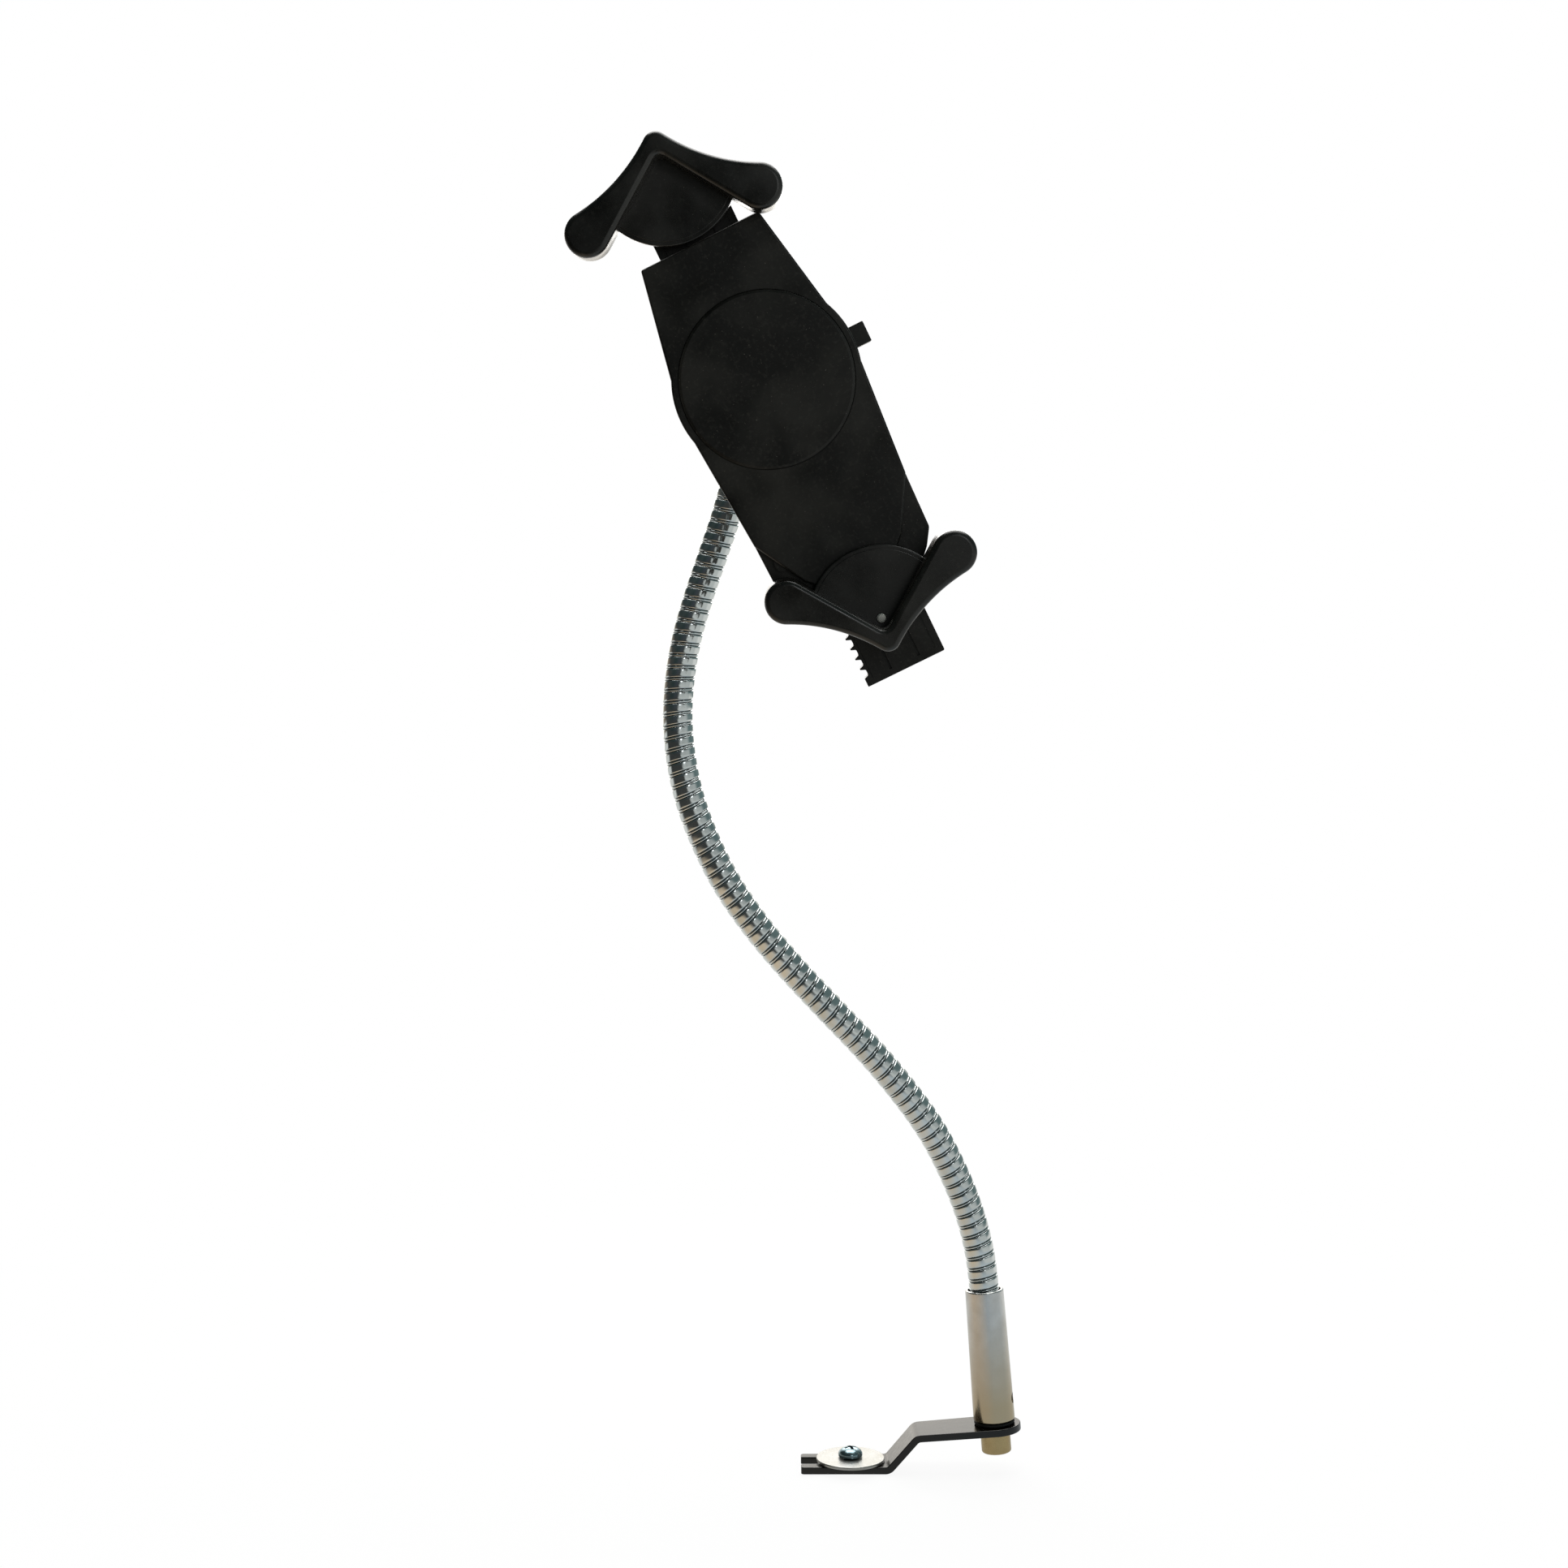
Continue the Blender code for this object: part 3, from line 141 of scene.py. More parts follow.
def rounded(corners, steps=6, closed=True):
    """A path of (x, z, radius) corners, with every corner turned into an arc of its radius."""
    points = []
    for index, (x, z, radius) in enumerate(corners):
        if radius == 0 or (not closed and index in (0, len(corners) - 1)):
            points.append((x, z))
            continue
        corner = Vector((x, z))
        to_before = (Vector(corners[index - 1][:2]) - corner).normalized()
        to_after = (Vector(corners[(index + 1) % len(corners)][:2]) - corner).normalized()
        half = to_before.angle(to_after) / 2
        centre = corner + (to_before + to_after).normalized() * radius / math.sin(half)
        start = corner + to_before * radius / math.tan(half) - centre
        end = corner + to_after * radius / math.tan(half) - centre
        for step in range(steps + 1):
            direction = start.lerp(end, step / steps).normalized()
            points.append(tuple(centre + direction * radius))
    return points


def mirrored(half):
    """A right half from top to bottom, closed with its mirror image."""
    return list(half) + [(-x, *rest) for x, *rest in reversed(half) if x > 1e-7]


def inset(corners, distance):
    """A closed path of (x, z, radius) corners moved inwards by a distance, its roundings kept concentric."""
    points = [Vector(corner[:2]) for corner in corners]
    following = points[1:] + points[:1]
    area = sum(a.x * b.y - b.x * a.y for a, b in zip(points, following))
    side = 1 if area > 0 else -1
    moved = []
    for before, point, after, corner in zip(points[-1:] + points[:-1], points, following, corners):
        first = (point - before).normalized()
        second = (after - point).normalized()
        normal = Vector((-first.y - second.y, first.x + second.x)) * side
        place = point + normal * 2 * distance / max(normal.length_squared, 0.5)
        convex = first.cross(second) * side > 0
        radius = max(corner[2] - distance, 0.02) if convex else corner[2] + distance
        moved.append((place.x, place.y, radius if corner[2] else 0))
    return moved


# ---------------------------------------------------------------- meshes

def mesh_from(work):
    mesh = bpy.data.meshes.new("shape")
    bmesh.ops.recalc_face_normals(work, faces=work.faces)
    work.to_mesh(mesh)
    work.free()
    return mesh


def loft(rings):
    """A closed body through rings of equally many points."""
    work = bmesh.new()
    rows = [[work.verts.new(point) for point in ring] for ring in rings]
    count = len(rows[0])
    for row, other in zip(rows, rows[1:]):
        for index in range(count):
            following = (index + 1) % count
            work.faces.new((row[index], row[following], other[following], other[index]))
    work.faces.new(rows[0])
    work.faces.new(rows[-1])
    return mesh_from(work)


def plate(corners, front, back, front_edge=0.0, back_edge=0.0, steps=4):
    """A flat path in (X, Z), solid from Y = front to Y = back, with rounded edges."""
    levels = []
    for edge, face, sense in ((front_edge, front, 1), (back_edge, back, -1)):
        side = [(0.0, face)]
        if edge:
            angles = [math.pi / 2 * step / steps for step in range(steps + 1)]
            side = [(edge * (1 - math.sin(a)), face + sense * edge * (1 - math.cos(a))) for a in angles]
        levels += side if sense > 0 else side[::-1]
    rings = [[(x, depth, z) for x, z in rounded(inset(corners, distance))] for distance, depth in levels]
    return loft(rings)


def turned(profile, steps=96, shape=None):
    """(radius, height) points turned about Z. A profile that starts off the axis is a closed loop."""
    work = bmesh.new()
    poles = {}
    columns = []
    for step in range(steps):
        angle = 2 * math.pi * step / steps
        column = []
        for index, (reach, height) in enumerate(profile):
            if reach < 1e-7:
                if index not in poles:
                    poles[index] = work.verts.new((0, 0, height))
                column.append(poles[index])
            else:
                reach = shape(reach, height, angle) if shape else reach
                column.append(work.verts.new((reach * math.cos(angle), reach * math.sin(angle), height)))
        columns.append(column)
    spans = len(profile) if profile[0][0] > 1e-7 else len(profile) - 1
    for left, right in zip(columns, columns[1:] + columns[:1]):
        for index in range(spans):
            following = (index + 1) % len(profile)
            corners = dict.fromkeys((left[index], right[index], right[following], left[following]))
            if len(corners) > 2:
                work.faces.new(list(corners))
    return mesh_from(work)


def bow(radius, start, end, steps):
    """(radius, height) points on a ball's outline, with angles in radians from its top."""
    angles = [start + (end - start) * step / steps for step in range(steps + 1)]
    return [(radius * math.sin(angle), radius * math.cos(angle)) for angle in angles]


def moved(mesh, matrix):
    mesh.transform(matrix)
    return mesh


def block(low, high, edge=0.0):
    """A box between two corners, its edges rounded."""
    corners = ((low[0], low[2]), (high[0], low[2]), (high[0], high[2]), (low[0], high[2]))
    return plate([(x, z, edge) for x, z in corners], low[1], high[1], edge * 0.9, edge * 0.9)


def drum(radius, front, back, x=0.0, z=0.0, steps=48, edge=0.0):
    """A round plate along Y at (x, z)."""
    return plate(arc((x, z), radius, 0, 360 - 360 / steps, steps - 1), front, back, edge, edge)


def linked(name, data):
    item = bpy.data.objects.new(name, data)
    bpy.context.scene.collection.objects.link(item)
    return item


def evaluated(item):
    """An object's final mesh, in place of the object."""
    result = bpy.data.meshes.new_from_object(item.evaluated_get(bpy.context.evaluated_depsgraph_get()))
    bpy.data.objects.remove(item, do_unlink=True)
    return result


def combined(mesh, *steps):
    """A mesh after a run of exact booleans, each an operation and the mesh that it uses."""
    item = linked("work", mesh)
    helpers = []
    for operation, tool in steps:
        helpers.append(linked("tool", tool))
        modifier = item.modifiers.new("boolean", "BOOLEAN")
        modifier.operation = operation
        modifier.solver = "EXACT"
        modifier.object = helpers[-1]
    result = evaluated(item)
    for helper in helpers:
        bpy.data.objects.remove(helper, do_unlink=True)
    return result


def cut(mesh, *tools):
    return combined(mesh, *[("DIFFERENCE", tool) for tool in tools])


def joined(mesh, *tools):
    return combined(mesh, *[("UNION", tool) for tool in tools])


def piece(name, mesh, matrix, body, slot, *nodes, look=None, angle=38.0):
    """A finished piece: smooth where it is round, riding on its body and standing for its CAD nodes."""
    mesh.name = name
    local = mesh.attributes.new("local", "FLOAT_VECTOR", "POINT")
    local.data.foreach_set("vector", np.array([vert.co for vert in mesh.vertices], np.float32).ravel())
    mesh.transform(matrix)
    mesh.materials.clear()
    mesh.materials.append(LOOKS[look or slot])
    mesh.shade_smooth()
    mesh.set_sharp_from_angle(angle=math.radians(angle))
    item = linked(name, mesh)
    weighted = item.modifiers.new("normals", "WEIGHTED_NORMAL")
    weighted.keep_sharp = True
    if body:
        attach(item, body)
    if nodes:
        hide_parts(*nodes)
    return item


# ---------------------------------------------------------------- materials

class Nodes:
    """Short calls that add nodes to a shader tree."""

    def __init__(self, tree):
        self.tree = tree

    def feed(self, target, value):
        """Set an input socket to a value, or link it to another node's output."""
        if isinstance(value, bpy.types.NodeSocket):
            self.tree.links.new(value, target)
        else:
            target.default_value = (*value, 1.0) if target.type == "RGBA" else value

    def add(self, kind, inputs=None, **settings):
        made = self.tree.nodes.new("ShaderNode" + kind)
        for setting, value in settings.items():
            setattr(made, setting, value)
        for socket, value in (inputs or {}).items():
            self.feed(made.inputs[socket], value)
        return made

    def mix(self, factor, first, second):
        """Two colours mixed. The node's sockets 6 and 7 and its output 2 are the ones for colours."""
        return self.add("Mix", {0: factor, 6: first, 7: second}, data_type="RGBA").outputs[2]

    def shared(self, factor, first, second):
        return self.add("MixShader", {0: factor, 1: first, 2: second}).outputs[0]


class Look(Nodes):
    """A Principled material, with its procedural nodes sized in millimetres."""

    def __init__(self, name, metallic=0.0, on_cad=False, **sockets):
        self.material = bpy.data.materials.new(name)
        self.material.use_nodes = True
        super().__init__(self.material.node_tree)
        self.shader = self.tree.nodes["Principled BSDF"]
        self.shader.inputs["Metallic"].default_value = metallic
        for socket, value in sockets.items():
            self.shader.inputs[socket.replace("_", " ")].default_value = value
        if on_cad:
            metres = self.add("TexCoord").outputs["Object"]
            scaled = self.add("VectorMath", {"Vector": metres, "Scale": 1 / MM}, operation="SCALE")
            self.place = scaled.outputs[0]
        else:
            self.place = self.add("Attribute", attribute_name="local").outputs["Vector"]
        self.normal = None

    def noise(self, size, detail=3.0, stretch=None):
        place = self.place
        if stretch:
            place = self.add("Mapping", {"Vector": place, "Scale": stretch}).outputs["Vector"]
        return self.add("TexNoise", {"Vector": place, "Scale": 1 / size, "Detail": detail}).outputs["Fac"]

    def along(self, axis):
        """The place's X, Y or Z."""
        return self.add("SeparateXYZ", {"Vector": self.place}).outputs[axis]

    def spread(self, value, low, high, start=0.3, end=0.7):
        limits = {"Value": value, "From Min": start, "From Max": end, "To Min": low, "To Max": high}
        return self.add("MapRange", limits).outputs["Result"]

    def colour(self, output):
        self.feed(self.shader.inputs["Base Color"], output)

    def roughness(self, output):
        self.feed(self.shader.inputs["Roughness"], output)

    def bump(self, height, strength, distance):
        made = self.add("Bump", {"Strength": strength, "Distance": distance * MM, "Height": height})
        if self.normal:
            self.feed(made.inputs["Normal"], self.normal)
        self.normal = made.outputs["Normal"]
        self.feed(self.shader.inputs["Normal"], self.normal)


def moulded(name, dark, light, rough, grain, grain_depth, specular=0.3):
    """Moulded black plastic: spark-eroded grain, cloudy flow and handling marks, and fine pale specks."""
    look = Look(name, Specular_IOR_Level=specular)
    hazy = tuple(1.8 * part for part in light)
    pale = tuple(5 * part for part in light)
    body = look.mix(look.spread(look.noise(30, 4), 0, 1, 0.44, 0.64), dark, light)
    body = look.mix(look.spread(look.noise(1.3, 3), 0, 0.6, 0.52, 0.8), body, hazy)
    look.colour(look.mix(look.spread(look.noise(0.7, 2), 0, 1, 0.7, 0.76), body, pale))
    look.roughness(look.spread(look.noise(14, 4), rough - 0.1, rough + 0.14))
    look.bump(look.noise(grain, 2), 0.12, grain_depth)
    look.bump(look.noise(18, 1), 0.12, 0.25)
    return look.material


def plated(name, pale, dull, rough, stretch, size=0.5, depth=0.004, on_cad=False, metallic=1.0):
    """Plated metal: fine tool marks along one direction, with cloudy stains in the plating."""
    look = Look(name, metallic, on_cad)
    marks = look.noise(size, 3, stretch)
    look.colour(look.mix(look.spread(look.noise(7, 4), 0, 1, 0.35, 0.75), pale, dull))
    look.roughness(look.spread(marks, rough - 0.05, rough + 0.09))
    look.bump(marks, 0.3, depth)
    return look.material


def neck_chrome():
    """Chromed winding: faint clouds in the plating, and painted shade darkening the grooves between the turns and the
    bore.
    """
    look = Look("neck_chrome", metallic=1.0)
    groove_shade = look.add("Attribute", attribute_name="groove_shade").outputs["Fac"]
    metal = look.mix(look.spread(look.noise(11, 4), 0, 1), (0.68, 0.71, 0.71), (0.56, 0.6, 0.6))
    # Painted shade: the grooves between the turns go near black towards their bottoms, standing in for the shade that
    # falls there.
    look.colour(look.mix(look.spread(groove_shade, 0, 1, 0.3, 0.8), metal, (0.02, 0.022, 0.02)))
    look.roughness(look.spread(look.noise(2.5, 4), 0.1, 0.2))
    look.bump(look.noise(1.2, 2), 0.05, 0.02)
    return look.material


def black_paint():
    """Baked black paint on steel: slight orange peel, rolled streaks and dull scuffs."""
    look = Look("black_paint", Specular_IOR_Level=0.4)
    streaks = look.noise(1.5, 3, (0.12, 1, 1))
    scuffs = look.spread(look.noise(5, 5), 0, 1, 0.45, 0.75)
    look.colour(look.mix(scuffs, (0.0016, 0.001, 0.0004), (0.004, 0.0028, 0.0015)))
    look.roughness(look.spread(streaks, 0.12, 0.22))
    look.bump(look.noise(1.1, 2), 0.15, 0.03)
    look.bump(streaks, 0.15, 0.01)
    return look.material


def nickel_painted_warm_reflection():
    """The ferrule's plating: tool marks along it, with a painted warm reflection that browns it towards its foot."""
    look = Look("nickel_painted_warm_reflection", metallic=1.0)
    marks = look.noise(0.9, 3, LONG_LAY)
    clean = look.mix(look.spread(look.noise(7, 4), 0, 1), (0.6, 0.61, 0.61), (0.5, 0.5, 0.485))
    # Painted reflection: brown at the foot fading to the clean plating higher up, standing in for the warm table
    # reflected there.
    look.colour(look.mix(look.spread(look.along("Z"), 0, 1, 8, 46), (0.47, 0.385, 0.26), clean))
    look.roughness(look.spread(marks, 0.14, 0.26))
    look.bump(marks, 0.3, 0.006)
    return look.material


# How far marks are stretched along each axis
EVEN_LAY = (1.0, 1.0, 1.0)
ROUND_LAY = (1.0, 1.0, 14.0)            # marks that run round a turned piece
LONG_LAY = (9.0, 9.0, 0.5)              # marks that run along it
# Dark and light colour, roughness, grain size and depth, and specular level where it isn't the usual
MOULDED = {
    "shell_plastic": ((0.004, 0.0037, 0.0024), (0.026, 0.0245, 0.0205), 0.36, 0.32, 0.03),
    "jaw_plastic": ((0.0052, 0.0048, 0.0036), (0.018, 0.017, 0.0145), 0.26, 0.45, 0.006, 0.45),
    "bar_plastic": ((0.008, 0.0075, 0.006), (0.02, 0.019, 0.016), 0.34, 0.4, 0.02),
    "pad_rubber": ((0.004, 0.0037, 0.0024), (0.024, 0.0226, 0.019), 0.42, 0.25, 0.03),
    "washer_rubber": ((0.006, 0.006, 0.006), (0.014, 0.014, 0.013), 0.7, 0.3, 0.04),
    "seat_nylon": ((0.5, 0.48, 0.42), (0.6, 0.58, 0.52), 0.45, 0.5, 0.02)}
# Pale and dull colour, roughness, lay of the marks, their size and depth, whether on a CAD node,
# and metalness
PLATED = {
    "bright_zinc": ((0.35, 0.35, 0.34), (0.29, 0.286, 0.26), 0.3, EVEN_LAY, 0.6),
    "blue_zinc": ((0.26, 0.35, 0.38), (0.16, 0.22, 0.25), 0.2, ROUND_LAY),
    "yellow_zinc": ((0.46, 0.34, 0.17), (0.38, 0.27, 0.13), 0.26, LONG_LAY, 0.7, 0.01),
    "nickel": ((0.8, 0.78, 0.74), (0.7, 0.67, 0.61), 0.2, LONG_LAY, 0.9, 0.006),
    "core_steel": ((0.36, 0.35, 0.33), (0.24, 0.22, 0.2), 0.4, LONG_LAY, 0.5, 0.004, True),
    "pin_steel": ((0.85, 0.83, 0.76), (0.72, 0.69, 0.61), 0.42, ROUND_LAY, 0.5, 0.004, False, 0.4)}


# ---------------------------------------------------------------- bracket

STRIP = 2.9
FOOT_END = -29.6
FOOT_BEND = 6.5
PLATE_BEND = Vector((17.9, 13.0))
PLATE_SLOPE = math.radians(4.4)
BEND_RADIUS = 2.0
FOOT_HALF_WIDTH = 9.0
PLATE_END_RADIUS = 10.5
SLOT_HALF = 4.3
SLOT_END = -4.5
FLOOR_SCREW_X = -9.5


def strip_runs():
    """Length and turn of each straight run and bend of the strip's middle line, from the foot's end."""
    web = PLATE_BEND - Vector((FOOT_BEND, 0))
    climb = math.atan2(web.y, web.x)
    middle = BEND_RADIUS + STRIP / 2
    outer_cut = (BEND_RADIUS + STRIP) * math.tan(climb / 2)
    fall = climb - PLATE_SLOPE
    inner_cut = BEND_RADIUS * math.tan(fall / 2)
    lengths = [FOOT_BEND - outer_cut - FOOT_END, middle * climb, web.length - outer_cut - inner_cut,
               middle * fall, 60]
    bends = [0.0, climb, 0.0, -fall, 0.0]
    return lengths, bends


def strip_place(distance):
    """Point and heading on the strip's middle line at a distance from the foot's end."""
    lengths, bends = strip_runs()
    point = Vector((FOOT_END, STRIP / 2))
    heading = 0.0
    for length, bend in zip(lengths, bends):
        part = min(distance, length)
        turn = bend * part / length
        chord = part if bend == 0 else 2 * length / abs(bend) * math.sin(abs(turn) / 2)
        point = point + Vector((math.cos(heading + turn / 2), math.sin(heading + turn / 2))) * chord
        heading += turn
        distance -= part
        if distance <= 0:
            break
    return point, heading


def post_distance():
    """How far along the strip its post hole lies."""
    lengths, _ = strip_runs()
    start, heading = strip_place(sum(lengths[:4]))
    across, _, up = JOINTS["ferrule_swivel"]["pos_m"]
    post = Vector((across, up)) / MM
    return sum(lengths[:4]) + (post - start).dot(Vector((math.cos(heading), math.sin(heading))))


def flat_strip():
    """The strip before it is bent, lying in (X, Y) with X the distance along it."""
    hole = post_distance()
    lengths, _ = strip_runs()
    shoulder = lengths[0]
    slot_centre = SLOT_END - SLOT_HALF - FOOT_END
    corner = 1.2
    outline = [(0, -FOOT_HALF_WIDTH, corner), (shoulder, -FOOT_HALF_WIDTH, 0)]
    outline += arc((hole, 0), PLATE_END_RADIUS, -90, 90, 40)
    outline += [(shoulder, FOOT_HALF_WIDTH, 0), (0, FOOT_HALF_WIDTH, corner), (0, SLOT_HALF, 0.5)]
    outline += arc((slot_centre, 0), SLOT_HALF, 90, -90, 24)
    outline += [(0, -SLOT_HALF, 0.5)]
    blank = plate(outline, -STRIP / 2, STRIP / 2, 0.35, 0.35, 3)
    lie_flat = Matrix.Rotation(-math.pi / 2, 4, "X")
    return cut(moved(blank, lie_flat), moved(drum(4.25, -5, 5, hole, 0), lie_flat))


def offset_bracket():
    mesh = flat_strip()
    work = bmesh.new()
    work.from_mesh(mesh)
    lengths, bends = strip_runs()
    cuts = []
    start = 0.0
    for length, bend in zip(lengths, bends):
        if bend:
            cuts += [start + length * step / 12 for step in range(13)]
        start += length
    for distance in cuts:
        everything = work.verts[:] + work.edges[:] + work.faces[:]
        bmesh.ops.bisect_plane(work, geom=everything, plane_co=(distance, 0, 0), plane_no=(1, 0, 0),
                               dist=1e-4)
    for vert in work.verts:
        point, heading = strip_place(vert.co.x)
        lift = Vector((-math.sin(heading), math.cos(heading))) * vert.co.z
        vert.co = (point.x + lift.x, vert.co.y, point.y + lift.y)
    piece("bracket", mesh_from(work), TO_METRES, "bracket", "black_paint", "offset_bracket", angle=30.0)


# ---------------------------------------------------------------- floor fixing

WASHER_LOW = 3.2
WASHER_HIGH = 4.4
HEAD_SEAT = 4.7
HEAD_TOP = 8.6


def fender_washer():
    rim = 13.9
    bore = 3.1
    profile = rounded([(bore, WASHER_HIGH, 0.15), (rim, WASHER_HIGH, 0.45), (rim, WASHER_LOW, 0.15),
                       (bore, WASHER_LOW, 0.15)], 4)
    piece("washer", turned(profile, 128), FLOOR_FIXING, "floor_fixing", "bright_zinc", "fender_washer")


def driver_recess(top, depth, width, length):
    """A tapered cross for a driver, as the two bodies to cut away below a head's top."""
    tools = []
    for turn in (0, math.pi / 2):
        rings = []
        for height, share in ((top + depth, 1.35), (top, 1.0), (top - depth, 0.42)):
            half_long = length / 2 * share
            half_wide = width / 2 * (0.75 + 0.25 * share)
            ring = [(-half_long, -half_wide, height), (half_long, -half_wide, height),
                    (half_long, half_wide, height), (-half_long, half_wide, height)]
            rings.append(ring)
        tools.append(moved(loft(rings), Matrix.Rotation(turn + math.radians(22), 4, "Z")))
    return tools


def thread(radius, low, high, pitch, depth):
    """Outer side of a threaded shank, from high to low, as closely spaced ridges."""
    points = []
    turns = max(1, round((high - low) / pitch))
    step = (high - low) / turns
    for index in range(turns):
        top = high - index * step
        points += [(radius, top - 0.15 * step), (radius - depth, top - 0.45 * step),
                   (radius - depth, top - 0.6 * step), (radius, top - 0.9 * step)]
    return points


def floor_screw():
    shoulder = HEAD_SEAT + 1.0
    radius = 4.9
    shank = 2.7
    dome = []
    for step in range(13):
        angle = math.pi / 2 * (1 - step / 12)
        dome.append((radius * math.cos(angle), shoulder + (HEAD_TOP - shoulder) * math.sin(angle)))
    profile = dome + [(radius, HEAD_SEAT + 0.3), (radius - 0.3, HEAD_SEAT), (shank, HEAD_SEAT)]
    profile += thread(shank, 0.6, HEAD_SEAT - 0.3, 0.9, 0.35)
    profile += [(shank - 0.4, 0.35), (0, 0.35)]
    mesh = cut(turned(profile, 72), *driver_recess(HEAD_TOP, 2.4, 1.3, 5.6))
    piece("cross_screw", mesh, FLOOR_FIXING, "floor_fixing", "blue_zinc", "floor_screw")


# ---------------------------------------------------------------- post

FERRULE_LOW = 1.6
FERRULE_HIGH = 54.6
SET_SCREW_HEIGHT = 10.1
SET_SCREW_TURN = Matrix.Rotation(math.radians(-14.0), 4, "Z")


def post_screw():
    seat = -3.2
    foot = -11.6
    head = 6.0
    shank = 3.95
    profile = [(0, 13), (shank - 0.8, 13)]
    profile += thread(shank, seat + 4, 12.4, 1.25, 0.5)
    profile += [(shank, seat + 3.4)]
    profile += rounded([(shank, seat, 0), (head, seat, 0.35), (head, foot, 0.8), (0, foot, 0)], 6, False)
    socket = moved(drum(6.0 / math.sqrt(3), 0, 6, steps=6), Matrix.Rotation(math.pi / 2, 4, "X"))
    socket.transform(Matrix.Translation((0, 0, foot + 4)))
    piece("cap_screw", cut(turned(profile, 72), socket), POST, "post", "yellow_zinc", "post_screw")


def swivel_washer():
    bore = 4.25
    rim = 8.2
    profile = rounded([(bore, 1.3, 0.2), (rim, 1.3, 0.3), (rim, 0.3, 0.3),
                       (bore, 0.3, 0.2)], 4)
    piece("friction_washer", turned(profile, 72), POST, "bracket", "washer_rubber", "swivel_washer")


def base_ferrule():
    bottom = 8.4
    top = 7.75
    neck_bore = 6.6
    screw_bore = 4.25
    neck_floor = FERRULE_HIGH - 16
    screw_roof = FERRULE_LOW + 14.4
    corners = [(0, neck_floor, 0), (neck_bore, neck_floor, 0), (neck_bore, FERRULE_HIGH, 0.35),
               (top, FERRULE_HIGH, 0.6), (bottom, FERRULE_LOW, 0.6), (screw_bore, FERRULE_LOW, 0.4),
               (screw_bore, screw_roof, 0), (0, screw_roof, 0)]
    hole = moved(drum(2.1, -12, -2, 0, SET_SCREW_HEIGHT, 32), Matrix.Rotation(math.pi / 2, 4, "Z"))
    mesh = cut(turned(rounded(corners, 6, False), 128), moved(hole, SET_SCREW_TURN))
    piece("ferrule", mesh, POST, "post", "nickel", "base_ferrule", look="nickel_painted_warm_reflection")


def ferrule_set_screw():
    radius = 1.9
    inner = 4.25
    outer = 7.5
    profile = [(0, outer), (radius - 0.3, outer)]
    profile += thread(radius, inner + 0.5, outer - 0.3, 0.7, 0.2)
    profile += [(radius - 0.5, inner), (0, inner)]
    socket = moved(drum(1.1, 0, 3, steps=6), Matrix.Rotation(math.pi / 2, 4, "X"))
    socket.transform(Matrix.Translation((0, 0, outer + 1.4)))
    aim = Matrix.Translation((0, 0, SET_SCREW_HEIGHT)) @ Matrix.Rotation(math.pi / 2, 4, "Y")
    place = POST @ SET_SCREW_TURN @ aim
    piece("set_screw", cut(turned(profile, 48), socket), place, "post", "core_steel", "ferrule_set_screw")


# ---------------------------------------------------------------- gooseneck

NECK_COLUMNS = 44
NECK_INNER = 4.75
NECK_OUTSIDE = 6.0
GROOVE_DEPTH = 0.55
# One turn of the winding, (distance along the neck, radius): a broad flat band, then a thin wire in a groove
WINDING = [(0.0, 5.45), (0.08, 5.76), (0.22, 5.92), (0.5, 5.98), (1.0, 6.0), (1.7, 6.0), (2.5, 6.0),
           (2.95, 5.98), (3.2, 5.92), (3.34, 5.76), (3.42, 5.45), (3.58, 5.66), (3.78, 5.84), (4.01, 5.9), (4.24, 5.84),
           (4.44, 5.66)]


def neck_curve():
    """Points every half millimetre or so along the neck, with the distance to each."""
    knots = [2 * NECK_ROUTE[0] - NECK_ROUTE[1]] + NECK_ROUTE + [2 * NECK_ROUTE[-1] - NECK_ROUTE[-2]]
    points = []
    for first in range(len(knots) - 3):
        p0, p1, p2, p3 = (np.array(knot) for knot in knots[first:first + 4])
        for step in range(36):
            t = step / 36
            points.append(0.5 * (2 * p1 + (p2 - p0) * t + (2 * p0 - 5 * p1 + 4 * p2 - p3) * t ** 2
                                 + (3 * p1 - p0 - 3 * p2 + p3) * t ** 3))
    points.append(np.array(NECK_ROUTE[-1]))
    points = np.array(points)
    steps = np.linalg.norm(np.diff(points, axis=0), axis=1)
    return points, np.concatenate([[0.0], np.cumsum(steps)])


def neck_axes(points):
    """Two directions square to the neck at each point, carried along it without twist."""
    tangents = np.gradient(points, axis=0)
    tangents /= np.linalg.norm(tangents, axis=1)[:, None]
    across = np.zeros_like(tangents)
    side = np.array((0.0, 1.0, 0.0))
    for index, tangent in enumerate(tangents):
        side = side - tangent * side.dot(tangent)
        side /= np.linalg.norm(side)
        across[index] = side
    return across, np.cross(tangents, across)


class Neck:
    """The wound tube's surface, as a place for every row of the winding and column round it."""

    def __init__(self):
        self.points, self.distances = neck_curve()
        self.across, self.along = neck_axes(self.points)
        self.length = self.distances[-1]

    def track(self, values, distance):
        return np.stack([np.interp(distance, self.distances, values[:, axis]) for axis in range(3)], axis=1)

    def surface(self, distance, radius, angle):
        centre = self.track(self.points, distance)
        side = self.track(self.across, distance)
        other = self.track(self.along, distance)
        return centre + radius[:, None] * (np.cos(angle)[:, None] * side + np.sin(angle)[:, None] * other)

    def at(self, distance):
        return Vector(self.track(self.points, np.array([distance]))[0])

    def heading(self, distance):
        return (self.at(distance + 1) - self.at(distance - 1)).normalized()


